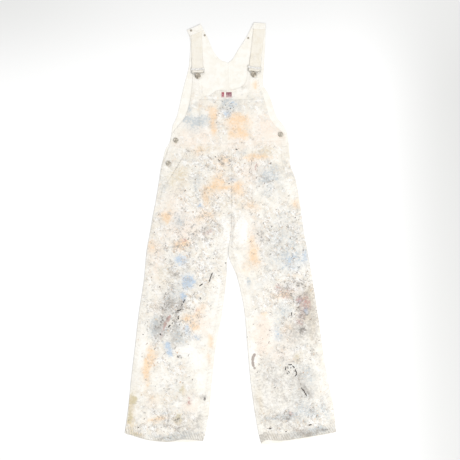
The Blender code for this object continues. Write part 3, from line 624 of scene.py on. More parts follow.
def on_root(obj, slot, *nodes):
    """The piece rides on the body and stands for these solids; the slot is not used."""
    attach(obj, "root")
    if nodes:
        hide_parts(*nodes)


def shares(length, step):
    """Even shares of a length, with two closer ones at each end to round the cloth's edge."""
    even = np.linspace(0, 1, max(3, int(round(length / step)) + 1))
    ends = np.array((0.45, 1.3)) / length
    return np.concatenate(([0], ends, even[1:-1], 1 - ends[::-1], [1]))


Cloth = namedtuple("Cloth", "obj top area")
pieces = {}                # the cloth and webbing pieces, by name


def cloth(name, sides, ends, low, step=GRID, columns=None, wall=WALL, trims=(), under_trims=(),
          painted="front", hem=None, look="canvas"):
    """One cut piece as a closed thin shell on its solid's form, with its paint as attributes."""
    lower, upper = smooth_line(ends[0]), smooth_line(ends[1])
    reach = np.array([lower(0.5), upper(0.5)])
    width = float(np.max(sides[1](reach) - sides[0](reach)))
    length = float(np.max(upper(np.linspace(0, 1, 9)) - lower(np.linspace(0, 1, 9))))
    u, v = np.meshgrid(shares(width, columns or step), shares(length, step))
    y = lower(u) + (upper(u) - lower(u)) * v
    x = sides[0](y) + (sides[1](y) - sides[0](y)) * u
    rim = np.minimum(np.minimum(u, 1 - u) * width, np.minimum(v, 1 - v) * length)
    rounded = 1 - ROUNDING * (1 - np.clip(rim / ROUNDING_REACH, 0, 1)) ** 2

    def top(px, py):
        return low(px, py) + wall + sum(trim_parts(trims, px, py))

    base = low(x, y)
    upper_face = base + (top(x, y) - base) * rounded
    lower_face = (np.maximum(base - sum(trim_parts(under_trims, x, y)), 0.0)
                  + wall * 0.5 * (1 - rounded))
    rows, cols = x.shape
    points = np.concatenate([np.stack([x, y, face], 2).reshape(-1, 3)
                             for face in (upper_face, lower_face)]) * MM
    index = np.arange(rows * cols).reshape(rows, cols)
    upside = np.stack([index[:-1, :-1], index[:-1, 1:], index[1:, 1:], index[1:, :-1]], 2)
    upside = upside.reshape(-1, 4)
    downside = upside[:, ::-1] + rows * cols
    loop = np.concatenate([index[0, :-1], index[:-1, -1], index[-1, :0:-1], index[:0:-1, 0]])
    after = np.roll(loop, -1)
    edge = np.stack([loop, loop + rows * cols, after + rows * cols, after], 1)
    obj = mesh_object(name, points, np.concatenate([upside, downside, edge]))
    # The troughs of the stitching's puckers and a thin line at the hem's edge are darkened in the
    # colour: painted shade.
    troughs = -trim_parts(trims, x, y)[1].ravel()
    if hem is not None:
        troughs = troughs + 0.5 * np.exp(-(beside(hem, x, y)[0].ravel() / 2.2) ** 2)
    paint_attributes(obj, x.ravel(), y.ravel(), painted, troughs)
    obj.data.materials.append(finishes[look])
    on_root(obj, look, name)
    flat = np.abs((x[:-1, 1:] - x[:-1, :-1]) * (y[1:, :-1] - y[:-1, :-1]))
    pieces[name] = Cloth(obj, top, float(flat.sum()) * MM * MM)
    return pieces[name]


def mark_field(rows, x, y, seed):
    """How strongly a kind of paint lies at each point, from its marks with uneven edges."""
    ragged_x = x + 8 * hills(x, y, 26, seed) + 4.5 * hills(x, y, 11, seed + 1)
    ragged_y = y + 8 * hills(x, y, 26, seed + 2) + 4.5 * hills(x, y, 11, seed + 3)
    bare = np.ones_like(x)
    for mark in rows:
        mx, my = photo(mark.px, mark.py)
        turn = math.radians(mark.lean)
        dx, dy = ragged_x - mx, ragged_y - my
        wide = (dx * math.cos(turn) - dy * math.sin(turn)) / mark.wide
        long = (dx * math.sin(turn) + dy * math.cos(turn)) / mark.long
        bare *= 1 - np.clip(mark.strength, 0, 1) * np.exp(-(wide * wide + long * long) * 0.7)
    return 1 - bare


def line_field(rows, x, y):
    """One along the lines, fading out to their edges."""
    field = np.zeros_like(x)
    for line in rows:
        middle = line.path.mean(0)
        near = (np.abs(x - middle[0]) < 60) & (np.abs(y - middle[1]) < 60)
        if near.any():
            distance = beside(line.path, x[near], y[near])[0]
            field[near] = np.maximum(field[near], 1 - distance / line.wide)
    return np.clip(field, 0, 1)


def paint_attributes(obj, x, y, painted, troughs):
    """Paint on the face that shows; the hidden face stays clean, but for the garment's back."""
    clean = np.zeros_like(x)
    front = painted == "front"
    faces = {}
    for number, (kind, rows) in enumerate(PAINT.items()):
        small = kind in ("stain", "spatter")
        if front:
            faces[kind] = mark_field(rows, x, y, 900 + 10 * number), clean
        else:
            behind = mark_field(rows, -x + 20, y + 35, 950 + 10 * number)
            faces[kind] = clean + 0.03 * small, behind * (0.6 if small else 0.5)
    for kind, rows in LINES.items():
        faces[kind] = line_field(rows, x, y) if front else clean, clean
    # Painted shade along the outline, at the hem's edge and in the puckers' troughs, with dirt on
    # the hems, all on the face that shows.
    painted_shade_and_grime = np.clip(edge_shade_and_hem_grime(x, y) + 1.9 * np.clip(troughs, 0, 0.6), 0, 1)
    faces["grime"] = painted_shade_and_grime if front else clean, clean
    for kind, both in faces.items():
        values = np.concatenate(both).astype(np.float32)
        obj.data.attributes.new(kind, "FLOAT", "POINT").data.foreach_set("value", values)


def edge_shade_and_hem_grime(x, y):
    """Painted shade along the folded edges, and dirt, most of all on the hems, which brush the
    ground.
    """
    at_edge = np.exp(-edge_distance(x, y) / 5)
    hem_height = np.where(x < 0, y + 702, y + 697 - 0.08 * (x - 100))
    at_hem = np.exp(-np.maximum(hem_height, 0) / 10)
    low_down = 1 - 0.7 * smooth_step((y - 200) / 120)
    return np.clip(0.25 * at_edge * low_down + 0.38 * at_hem, 0, 1)


class Field:
    """A number that varies over a surface; the usual operators add the nodes for it."""

    def __init__(self, finish, socket):
        self.finish = finish
        self.socket = socket

    def math(self, operation, *terms):
        return self.finish.node("ShaderNodeMath", {"operation": operation},
                                dict(enumerate(terms)))

    def __add__(self, other):
        return self.math("ADD", self, other)

    __radd__ = __add__

    def __sub__(self, other):
        return self.math("SUBTRACT", self, other)

    def __rsub__(self, other):
        return self.math("SUBTRACT", other, self)

    def __mul__(self, other):
        return self.math("MULTIPLY", self, other)

    __rmul__ = __mul__

    def __truediv__(self, other):
        return self.math("DIVIDE", self, other)

    def sine(self):
        return self.math("SINE", self)

    def unsigned(self):
        return self.math("ABSOLUTE", self)

    def most(self, other):
        return self.math("MAXIMUM", self, other)

    def between(self, low, high):
        """0 below low, 1 above high, and a smooth rise from one to the other."""
        return self.finish.node("ShaderNodeMapRange", {"interpolation_type": "SMOOTHSTEP"},
                                {"Value": self, "From Min": low, "From Max": high})


class Finish:
    """One material, with its nodes."""

    def __init__(self, name):
        self.material = bpy.data.materials.new(name)
        self.material.use_nodes = True
        self.tree = self.material.node_tree
        self.shader = self.tree.nodes["Principled BSDF"]

    def node(self, kind, settings=None, sockets=None, output=0):
        made = self.tree.nodes.new(kind)
        for key, value in (settings or {}).items():
            if key == "stops":
                for extra in range(len(value) - 2):
                    made.color_ramp.elements.new(0.5)
                for element, (spot, colour) in zip(made.color_ramp.elements, value):
                    element.position, element.color = spot, (*colour, 1)
            else:
                setattr(made, key, value)
        for key, value in (sockets or {}).items():
            if isinstance(value, Field):
                self.tree.links.new(value.socket, made.inputs[key])
            else:
                made.inputs[key].default_value = value
        return Field(self, made.outputs[output])

    def place(self):
        return self.node("ShaderNodeTexCoord", output="Object")

    def attribute(self, name):
        return self.node("ShaderNodeAttribute", {"attribute_name": name}, output="Fac")

    def noise(self, place, size, detail=3.0, output="Fac"):
        """Noise with features about size millimetres across."""
        return self.node("ShaderNodeTexNoise", {}, {"Vector": place, "Scale": 1 / (size * MM),
                                                    "Detail": detail, "Roughness": 0.6}, output)

    def parts(self, vector):
        """The three numbers of a vector or colour."""
        made = self.node("ShaderNodeSeparateXYZ", {}, {"Vector": vector})
        outputs = made.socket.node.outputs
        return [Field(self, outputs[i]) for i in range(3)]

    def mix(self, under, over, share):
        """Colour over laid on colour under by share."""
        under, over = [(*c, 1) if isinstance(c, tuple) else c for c in (under, over)]
        return self.node("ShaderNodeMix", {"data_type": "RGBA"}, {0: share, 6: under, 7: over}, 2)

    def set(self, **inputs):
        for key, value in inputs.items():
            socket = self.shader.inputs[key.replace("_", " ")]
            if isinstance(value, Field):
                self.tree.links.new(value.socket, socket)
            else:
                socket.default_value = value
        return self.material

    def bumped(self, height, depth, strength=1.0):
        return self.node("ShaderNodeBump", {}, {"Height": height, "Distance": depth * MM,
                                                "Strength": strength})


def tone(red, green, blue, gain=1.10):
    """A surface colour that looks like these 0 to 255 values in the photograph's strong light."""
    return tuple((c / 255) ** 2.2 / gain for c in (red, green, blue))


COTTON = tone(252, 249, 242)
# How each kind of paint looks, how ragged it lies, where its edge falls, how it covers, and
# how much of it has soaked in evenly.
Coat = namedtuple("Coat", "kind colour ragged low high cover soft")
COATS = (
    Coat("peach", tone(247, 231, 216), 0.9, 0.05, 0.85, 0.85, 0.60),
    Coat("ochre", tone(224, 204, 170), 1.2, 0.15, 0.95, 0.75, 0.50),
    Coat("olive", tone(203, 190, 150), 1.3, 0.15, 0.95, 0.78, 0.50),
    Coat("slate", tone(194, 202, 206), 1.3, 0.15, 1.00, 0.88, 0.50),
    Coat("grey", tone(198, 194, 187), 1.4, 0.15, 1.05, 0.85, 0.40),
    Coat("orange", tone(247, 206, 158), 1.1, 0.12, 1.15, 0.75, 0.75),
    Coat("blue", tone(180, 202, 225), 1.3, 0.16, 0.90, 0.84, 0.70),
    Coat("red", tone(190, 142, 136), 1.4, 0.25, 0.90, 0.80, 0.50),
    Coat("dark", tone(104, 98, 94), 2.0, 0.40, 1.20, 0.80, 0.35),
    Coat("white", tone(254, 252, 248), 1.0, 0.30, 0.90, 0.85, 0.60),
)
# Small paint: flecks rubbed thin over the weave, and drops that fell from a brush.
Fleck = namedtuple("Fleck", "size colour low high cover")
FLECKS = (
    Fleck(26.0, tone(235, 228, 215), 0.30, 0.64, 0.70),
    Fleck(9.0, tone(213, 213, 210), 0.42, 0.68, 0.66),
    Fleck(6.5, tone(239, 218, 195), 0.50, 0.68, 0.55),
    Fleck(10.0, tone(254, 253, 250), 0.50, 0.62, 0.85),
)
DARK_FLECKS = (
    Fleck(5.0, tone(168, 158, 148), 0.56, 0.70, 0.75),
    Fleck(5.5, tone(104, 96, 90), 0.65, 0.71, 0.70),
)
Drops = namedtuple("Drops", "apart reach share colours")
DROPS = (
    Drops(6.5, 0.38, 0.20, (tone(196, 188, 178), tone(226, 202, 172), tone(176, 180, 184),
                            tone(252, 250, 246), tone(150, 140, 130))),
    Drops(11.0, 0.22, 0.13, (tone(120, 110, 104), tone(190, 166, 144), tone(140, 142, 146),
                             tone(222, 176, 130), tone(90, 82, 78))),
    Drops(23.0, 0.09, 0.20, (tone(84, 76, 72), tone(120, 104, 94), tone(62, 58, 56),
                             tone(160, 120, 104), tone(96, 92, 92))),
)

# Short strokes that a dry brush or a dragged sleeve left.
Strokes = namedtuple("Strokes", "apart lean share colour")
STROKES = (
    Strokes(7.0, 0.35, 0.42, tone(178, 170, 160)), Strokes(8.5, 1.40, 0.36, tone(158, 152, 146)),
    Strokes(10.0, -0.75, 0.30, tone(118, 110, 104)), Strokes(9.0, 2.3, 0.34, tone(206, 184, 162)),
)


# Long wandering lines of dried paint, where a noise crosses its middle.
Scrawl = namedtuple("Scrawl", "size thin colour")
SCRAWLS = table(Scrawl, (10, 0.028, tone(188, 178, 166)), (16, 0.028, tone(168, 162, 154)),
                (24, 0.028, tone(146, 142, 138)), (62, 0.013, tone(186, 180, 172)))


def weave(finish, place, pitch):
    """The over and under of a plain weave, from -1 to 1."""
    x, y = finish.parts(place)[:2]
    turn = math.tau / (pitch * MM)
    return (x * turn).sine() * (y * turn).sine()


def leaning(finish, place, lean, stretch):
    """Turns a place by lean, so that what is drawn there is stretched along that direction."""
    return finish.node("ShaderNodeMapping", {"vector_type": "TEXTURE"},
                       {"Vector": place, "Rotation": (0, 0, lean), "Scale": (1, stretch, 1),
                        "Location": (0.37 * lean, 0, 0)})


def flecked(finish, place, fleck, number, specked, spatter):
    """Where one kind of fleck shows: uneven dabs that lean a different way for each kind."""
    lean = leaning(finish, place, 0.6 + 1.1 * number, 1.7)
    rubbed = finish.noise(lean, fleck.size, 4) + (specked - 0.65) * 0.18
    return rubbed.between(fleck.low, fleck.high) * fleck.cover * spatter.between(0.0, 0.35)


def scattered(finish, place, apart):
    """Cells apart millimetres wide: how far a spot is from its cell's middle, and the luck."""
    cells = finish.node("ShaderNodeTexVoronoi", {"voronoi_dimensions": "2D"},
                        {"Vector": place, "Scale": 1 / (apart * MM)})
    return cells, finish.parts(Field(finish, cells.socket.node.outputs["Color"]))


def canvas_finish():
    """Washed cotton canvas under many thin coats, drips and specks of paint."""
    f = Finish("painted canvas")
    place = f.place()
    coarse = f.parts(f.noise(place, 24, 4, "Color"))
    fine = f.parts(f.noise(place, 7.0, 3, "Color"))
    threads = weave(f, place, 1.1)
    ragged = f.node("ShaderNodeVectorMath", {"operation": "MULTIPLY_ADD"},
                    {0: f.noise(place, 5.0, 3, "Color"), 1: (0.012, 0.012, 0.012), 2: place})
    clusters = f.noise(place, 38, 3).between(0.38, 0.62)
    bare = 1 - f.attribute("white") * 0.9
    stain, spatter = f.attribute("stain") * bare, f.attribute("spatter") * bare
    stained, specked = [kind * (0.45 + clusters * 0.8) for kind in (stain, spatter)]
    colour = f.mix(COTTON, tone(247, 243, 233), coarse[0].between(0.40, 0.62))
    for number, fleck in enumerate(FLECKS):
        colour = f.mix(colour, fleck.colour, flecked(f, place, fleck, number, stained, stain))
    paint = None
    for number, coat in enumerate(COATS):
        grain = (coarse[number % 3] - 0.5) * 2.0 + (fine[(number + 1) % 3] - 0.5) * 3.2
        thickness = f.attribute(coat.kind)
        cover = (thickness * (grain * coat.ragged + 1)).between(coat.low, coat.high)
        cover = cover.most(thickness.between(0.05, 1.0) * coat.soft) * coat.cover
        colour = f.mix(colour, coat.colour, cover)
        paint = cover if paint is None else paint.most(cover)
    for scrawl in SCRAWLS:
        away = (f.noise(ragged, scrawl.size, 2) - 0.5).unsigned()
        drawn = 1 - away.between(scrawl.thin * 0.3, scrawl.thin)
        broken = f.noise(place, scrawl.size * 0.8, 2).between(0.44, 0.54)
        share = drawn * broken * (specked + stained * 0.25) * 0.75
        colour = f.mix(colour, scrawl.colour, share)
    for number, fleck in enumerate(DARK_FLECKS):
        colour = f.mix(colour, fleck.colour,
                       flecked(f, place, fleck, number + 9, specked, spatter))
    for strokes in STROKES:
        away, luck = scattered(f, leaning(f, ragged, strokes.lean, 3.2), strokes.apart)
        drawn = 1 - (away / (luck[2] * 0.9 + 0.4)).between(0.09, 0.15)
        drawn = drawn * (specked * strokes.share - luck[0]).between(-0.03, 0.03)
        colour = f.mix(colour, strokes.colour, drawn * spatter.between(0.0, 0.15) * 0.85)
    for drops in DROPS:
        away, luck = scattered(f, ragged, drops.apart)
        size = luck[2] * luck[2] * 0.9 + 0.35
        drop = 1 - (away / size).between(drops.reach * 0.7, drops.reach)
        shown = (specked * drops.share - luck[0]).between(-0.03, 0.03) * drop
        shown = shown * spatter.between(0.0, 0.15)
        stops = [(share / 4, tint) for share, tint in enumerate(drops.colours)]
        speck = f.node("ShaderNodeValToRGB", {"stops": stops}, {"Fac": luck[1]})
        colour = f.mix(colour, speck, shown * 0.9)
        paint = paint.most(shown)
    # Thin grey lines, partly scrapes and partly painted shade along creases.
    scrape = (f.attribute("scrape") + (fine[0] - 0.5) * 1.7).between(0.35, 0.75)
    scrape = scrape * f.noise(place, 8, 3).between(0.42, 0.56)
    colour = f.mix(colour, tone(146, 134, 124), scrape * 0.65)
    drip = (f.attribute("drip") + (fine[2] - 0.5) * 0.5).between(0.26, 0.42)
    colour = f.mix(colour, tone(62, 58, 56), drip)
    brown = (f.attribute("brown_drip") + (fine[1] - 0.5) * 0.6).between(0.25, 0.55)
    colour = f.mix(colour, tone(160, 146, 139), brown * 0.9)
    # Painted shade along the outline, at the hem's edge and in the puckers' troughs, and dirt on
    # the hems darken the colour.
    shade_and_dirt = f.attribute("grime")
    grime = (shade_and_dirt * (1 + (coarse[1] + fine[0] - 1) * 2.0)).between(0.05, 0.95)
    colour = f.mix(colour, tone(176, 170, 160), grime * 0.75)
    shade = 0.5 + threads * 0.5
    colour = f.mix(colour, tone(232, 228, 218), (1 - shade) * 0.08)
    height = threads * (1 - paint * 0.6) * 0.10 + paint * 0.22 + fine[1] * 0.12
    height = height + drip.most(brown) * 0.5
    return f.set(Base_Color=colour, Roughness=0.92 - paint * 0.28 - drip * 0.2,
                 Normal=f.bumped(height, 0.9, 0.8), Sheen_Weight=0.12, Sheen_Roughness=0.6,
                 Specular_IOR_Level=0.25)


def webbing_finish():
    """Cream elastic webbing, with fine ribs along the strap and a weft across it."""
    f = Finish("elastic webbing")
    place = f.place()
    x, y = f.parts(place)[:2]
    turn = math.tau / (1.05 * MM)
    ribs = ((x - y * 0.04) * turn).sine() * 0.5 + (y * turn * 1.3).sine() * 0.25
    soil = f.noise(place, 22, 4).between(0.42, 0.75)
    colour = f.mix(tone(255, 250, 239), tone(248, 240, 223), soil)
    # Colour darkened between the ribs: painted shade.
    colour = f.mix(colour, tone(222, 212, 192), (0.4 - ribs).between(0.2, 1.1) * 0.4)
    specks = f.noise(place, 3.0, 2).between(0.72, 0.78)
    colour = f.mix(colour, tone(176, 166, 150), specks * 0.5)
    return f.set(Base_Color=colour, Roughness=0.85, Sheen_Weight=0.1,
                 Normal=f.bumped(ribs, 0.25, 0.9), Specular_IOR_Level=0.3)


def metal_finish(name, dull, bright, rubbed_colour, metallic):
    """Plating that has dulled unevenly, with the metal below showing where it has rubbed."""
    f = Finish(name)
    place = f.place()
    patina = f.noise(place, 5, 4)
    rubbed = f.noise(place, 1.6, 3).between(0.55, 0.72)
    colour = f.mix(dull, bright, patina.between(0.35, 0.65))
    colour = f.mix(colour, rubbed_colour, rubbed * 0.5)
    return f.set(Base_Color=colour, Metallic=metallic, Roughness=0.3 + patina * 0.3,
                 Normal=f.bumped(patina, 0.12, 0.5))


def thread_finish():
    """Cotton thread, twisted, greyed by washing."""
    f = Finish("stitching thread")
    place = f.place()
    colour = f.mix(tone(246, 241, 230), tone(214, 206, 192), f.noise(place, 9, 3).between(0.4, 0.7))
    colour = f.mix(colour, tone(232, 214, 188), f.noise(place, 40, 2).between(0.5, 0.7) * 0.6)
    return f.set(Base_Color=colour, Roughness=0.8, Sheen_Weight=0.1,
                 Normal=f.bumped(f.noise(place, 0.5, 1), 0.1, 0.6))


def label_finish():
    """A small woven tab in two plain blocks of colour on a cream ground."""
    f = Finish("woven label")
    place = f.place()
    x, y = f.parts(place)[:2]
    left, right, low, high = [edge * MM for edge in
                              (LABEL_LEFT, LABEL_RIGHT, LABEL_LOW, LABEL_HIGH)]

    def block(number, start, stop, soft=0.0004):
        """One from start to stop, with a soft edge inside each end."""
        return number.between(start, start + soft) * (1 - number.between(stop - 0.0004, stop))

    inside = block(y, low + 0.0010, high - 0.0012)
    red = block(x, left + 0.0008, left + 0.0102)
    plum = block(x, left + 0.0165, right - 0.0008, 0.0005)
    colour = f.mix(tone(244, 236, 228), (0.34, 0.030, 0.065), inside * red)
    colour = f.mix(colour, (0.22, 0.055, 0.085), inside * plum)
    worn = (high - y) / (high - low) * 0.35
    faded = (f.noise(place, 4, 3) + worn - 0.1).between(0.45, 0.75)
    colour = f.mix(colour, tone(226, 208, 204), faded * 0.6)
    return f.set(Base_Color=colour, Roughness=0.75,
                 Normal=f.bumped(weave(f, place, 0.5), 0.08, 0.8))


finishes = {
    "canvas": canvas_finish(), "webbing": webbing_finish(), "thread": thread_finish(),
    "label": label_finish(),
    "nickel": metal_finish("worn nickel", (0.66, 0.64, 0.61), (0.88, 0.87, 0.84),
                           (0.95, 0.94, 0.91), 0.5),
    # Steel wire for the hooks, its colour darkened as painted shade on the thin wire.
    "wire": metal_finish("steel wire with painted shade", (0.42, 0.41, 0.39), (0.72, 0.70, 0.67),
                         (0.86, 0.85, 0.82), 0.7),
    "rubbed": metal_finish("rubbed brass", (0.30, 0.27, 0.22), (0.62, 0.57, 0.49),
                           (0.80, 0.77, 0.71), 0.8),
    "metal": metal_finish("dulled brass", (0.25, 0.22, 0.18), (0.52, 0.47, 0.39),
                          (0.72, 0.66, 0.55), 0.85),
}


class Stitching:
    """Rows of stitches, gathered into one piece."""

    def __init__(self, name):
        self.name = name
        self.points = []
        self.faces = []

    def rows(self, line, offsets, top, step=STITCH_STEP, below=False):
        """Stitches along a line, offset to its left, lying on the surface that top gives."""
        runs = np.diff(line, axis=0)
        arcs = np.concatenate(([0], np.cumsum(np.hypot(*runs.T))))
        spots = np.arange(step * 0.6, arcs[-1] - step * 0.4, step)
        for offset in offsets:
            ends = []
            for arc in (spots - STITCH / 2, spots, spots + STITCH / 2):
                x, y = np.interp(arc, arcs, line[:, 0]), np.interp(arc, arcs, line[:, 1])
                i = np.clip(np.searchsorted(arcs, arc) - 1, 0, len(runs) - 1)
                way = runs[i] / np.hypot(*runs[i].T)[:, None]
                x, y = x - way[:, 1] * offset, y + way[:, 0] * offset
                ends.append(np.stack([x, y, top(x, y)], 1))
            for tail, middle, head in zip(*ends):
                self.stitch(tail, middle, head, -1 if below else 1)

    def stitch(self, tail, middle, head, side):
        """A short thread that sinks at both ends and swells between them."""
        run = (head - tail) / np.linalg.norm(head - tail)
        across = np.array([-run[1], run[0], 0.0]) * THREAD
        up = np.array([0, 0, side * THREAD * 0.9])
        start = len(self.points)
        sunk = np.array([0, 0, side * 0.25])
        self.points.append(tail - sunk)
        for spot in (tail * 0.72 + head * 0.28, tail * 0.28 + head * 0.72):
            spot = spot + (middle - (tail + head) / 2) * 0.8
            self.points += [spot + across, spot + up * 1.1, spot - across, spot - up * 0.9]
        self.points.append(head - sunk)
        for k in range(4):
            n = (k + 1) % 4
            self.faces += [(start, start + 1 + n, start + 1 + k),
                           (start + 1 + k, start + 1 + n, start + 5 + n, start + 5 + k),
                           (start + 5 + k, start + 5 + n, start + 9)]

    def make(self):
        obj = mesh_object(self.name, np.array(self.points) * MM, self.faces)
        obj.data.materials.append(finishes["thread"])
        on_root(obj, "canvas")


FELL = (8.0, 17.0)         # a felled seam beside the edge of the laid garment
INSEAM = (9.0, 18.0)
ROW_INSIDE = 1.6           # its two rows of stitches run this far inside its edges
UNDER_SEWING = 0.12        # height of the stitches under the garment


def back_panels():
    """The back lies on the surface. Its top face is the inside of the garment."""
    sewing = Stitching("stitching_back")
    reach = (float(front_left(WAIST_Y)), float(front_right(WAIST_Y)))
    halves = ((reach[0], CROTCH[0]), (CROTCH[0], reach[1]))
    tops, lows = [[along_waist(*half, rise) for half in halves]
                  for rise in (-SEAM / 2, SEAM / 2)]
    plans = (
        ("back_leg_left", back_left, inset(left_inner, -SEAM / 2), (LEFT_BACK_HEM, tops[0])),
        ("back_leg_right", back_right, inset(right_inner, SEAM / 2), (RIGHT_BACK_HEM, tops[1])),
        ("back_bib_left", back_left, inset(left_notch, 0.02), (lows[0], end_line(LEFT_ARM_END))),
        ("back_bib_right", back_right, inset(right_notch, -0.02),
         (lows[1], end_line(RIGHT_ARM_END))),
    )
    for name, outer, inner, ends in plans:
        leg, left = "leg" in name, name.endswith("left")
        sides, sign = ((outer, inner), -1) if left else ((inner, outer), 1)
        y0, y1 = (-672, 284) if leg else (300, 690)
        outer_line, inner_line = side_line(outer, y0, y1), side_line(inner, y0, y1, 5.0)
        hem = cross_line(sides, ends[0])
        under = [Trim(inner_line, 0, 9, 0.3, 0, 12)]
        if leg:
            under += [Trim(outer_line, 0, 9, 0.3, 0, 12), Trim(hem, 0, HEM_DEPTH, 0.3, 0, 9)]
            over = [Trim(hem, 0, HEM_DEPTH, 0.25, 0.1, 8.5)]
        else:
            over = [Trim(outer_line, 0, 9, 0.22, 0.12, 9.5),
                    Trim(side_line(inner, 584, y1, 5.0), 0, 10, 0.22, 0.12, 9.0),
                    Trim(side_line(inner, 302, 580, 5.0), 0, 9, 0.28, 0.14, 10.5)]
        top = cloth(name, sides, ends, back_low, step=COARSE if leg else 4.2, wall=BACK_WALL,
                    trims=over, under_trims=under, painted="back").top
        outward, inward = (2.2 * sign, 7.4 * sign), (-2.2 * sign, -7.4 * sign)
        sewing.rows(inner_line, inward, under_face, step=5.0, below=True)
        if leg:
            sewing.rows(outer_line, outward, under_face, step=5.0, below=True)
        else:
            sewing.rows(outer_line, outward, top)
            sewing.rows(side_line(inner, 306, 578, 5.0), inward, top)
            sewing.rows(side_line(inner, 586, 690 if left else 708, 5.0), inward, top)
    sewing.make()


def under_face(x, y):
    return np.full(x.shape, UNDER_SEWING)


def front_panels():
    sewing = Stitching("stitching_legs")
    top = -WAISTBAND / 2 + 0.4

    def sewn(line, sign):
        """The legs' edges meet along the centre seam and stand apart below the crotch."""
        return lambda y: line(y) + sign * (0.1 - 0.3 * (1 - smooth_step((y - 64) / 8)))
    plans = (
        ("front_leg_left", front_left, sewn(left_inner, 1), 1,
         (LEFT_HEM, along_waist(float(front_left(WAIST_Y)), CROTCH[0], top))),
        ("front_leg_right", front_right, sewn(right_inner, -1), -1,
         (RIGHT_HEM, along_waist(CROTCH[0], float(front_right(WAIST_Y)), top))),
    )
    for name, outer, inner, sign, ends in plans:
        sides = (outer, inner) if sign == 1 else (inner, outer)
        outseam = side_line(outer, -690, 270)
        inseam = side_line(inner, -700, 50)
        centre = side_line(inner, 66, 282)
        hem = cross_line(sides, ends[0])
        trims = [Trim(outseam, *FELL, 0.55, 0.26, 11.5), Trim(inseam, *INSEAM, 0.5, 0.24, 12.5),
                 Trim(centre, 0, 8, 0.4, 0.16, 10.5), Trim(hem, 0, HEM_DEPTH, 0.85, 0.85, 8.6)]
        on = cloth(name, sides, ends, front_low, trims=trims, columns=2.5, hem=hem).top
        for seam, (near, far), turn in ((outseam, FELL, -sign), (inseam, INSEAM, sign)):
            sewing.rows(seam, (turn * (near + ROW_INSIDE), turn * (far - ROW_INSIDE)), on)
        sewing.rows(centre, (2.0 * sign, 6.4 * sign), on)
        sewing.rows(hem, (HEM_DEPTH - 2.4,), on)
    sewing.make()


def bib_and_band():
    sewing = Stitching("stitching_bib")
    sides = (front_left, front_right)
    reach = (float(front_left(WAIST_Y)), float(front_right(WAIST_Y)))
    band_ends = (along_waist(*reach, -WAISTBAND / 2), along_waist(*reach, WAISTBAND / 2))
    low_edge, high_edge = [cross_line(sides, end) for end in band_ends]
    band = cloth("waistband", sides, band_ends, front_low, wall=BAND_WALL, step=3.0,
                 trims=[Trim(low_edge, 0, 3.2, 0.12, 0.14, 10.0),
                        Trim(high_edge, 0, 3.2, 0.12, 0.14, 11.0)])
    sewing.rows(low_edge, (2.2, 6.6), band.top)
    sewing.rows(high_edge, (-2.2, -6.6), band.top)

    top_edge = cross_line(sides, BIB_TOP, count=120)
    left_edge = side_line(front_left, 318, 544)
    right_edge = side_line(front_right, 322, 549)

    def bib_low(x, y):
        """The bib's top edge has sunk onto the back's cloth."""
        sunk = np.exp(-beside(top_edge, x, y)[0] / 9)
        return front_low(x, y) * (1 - sunk) + (PANEL + SEWN_GAP) * sunk

    bib = cloth("front_bib", sides, (along_waist(*reach, WAISTBAND / 2 - 0.4), BIB_TOP), bib_low,
                step=3.0, trims=[Trim(top_edge, 0, 13, 0.25, 0.18, 9.0),
                                 Trim(left_edge, 0, 9, 0.25, 0.2, 10.0),
                                 Trim(right_edge, 0, 9, 0.25, 0.2, 10.0)])
    sewing.rows(left_edge, (-2.2, -7.0), bib.top)
    sewing.rows(right_edge, (2.2, 7.0), bib.top)
    sewing.rows(top_edge, (-2.4, -11.2), bib.top)
    sewing.make()


def on_panel(panel, sides, ends, rise=0.5, gape=None):
    """The inner face of a patch: sewn down at its edge, a little off the panel inside."""
    under = pieces[panel].top
    outline = patch_outline(sides, ends)

    def low(x, y):
        lifted = rise * smooth_step(beside(outline, x, y)[0] / 12)
        if gape:
            line, height, reach = gape
            near, along = beside(line, x, y)
            total = np.hypot(*np.diff(line, axis=0).T).sum()
            lifted = lifted + (height * np.exp(-near / reach)
                               * np.sin(np.pi * np.clip(along / total, 0, 1)) ** 1.5)
        return under(x, y) + SEWN_GAP + lifted + 0.1 * crumple(x, y, 71)
    return low


def patch_outline(sides, ends):
    """The whole edge of a patch as one closed line."""
    low, high = cross_line(sides, ends[0]), cross_line(sides, ends[1])
    right = side_line(sides[1], low[-1][1], high[-1][1])
    left = side_line(sides[0], high[0][1], low[0][1])
    return np.concatenate([low, right, high[::-1], left])


def upright(x):
    """A side line that stands straight up at one x."""
    return lambda y: np.full(np.shape(y), float(x))


UNDER_BAND = -WAISTBAND / 2 - 4 * SEAM
# Patch pockets on the hips and the plackets at the side openings.
Pocket = namedtuple("Pocket", "side slant inner bottom waist opening below inner_rows gape trim")
POCKETS = (
    Pocket("left", ((87, -243), (155, -231), (175, -214), (200, -198), (233, -178), (285, -147)),
           -90, ((0, 90), (0.12, 84), (1, 86)), (-147, -90), (158, 276), (90, 154), (88, 278),
           0.7, 0.25),
    Pocket("right", ((87, 222), (155, 211), (175, 197), (209, 172), (243, 150), (292, 121)),
           73, ((0, 88), (0.88, 86), (1, 92)), (73, 121), (160, 286), (92, 156), (88, 286),
           0.8, 0.45),
)
Placket = namedtuple("Placket", "side edge near far bottom waist top")
PLACKETS = (
    Placket("left", front_left, 3, 26, 176, (-209, -186), 276),
    Placket("right", front_right, -26, -3, 186, (171, 194), 292),
)


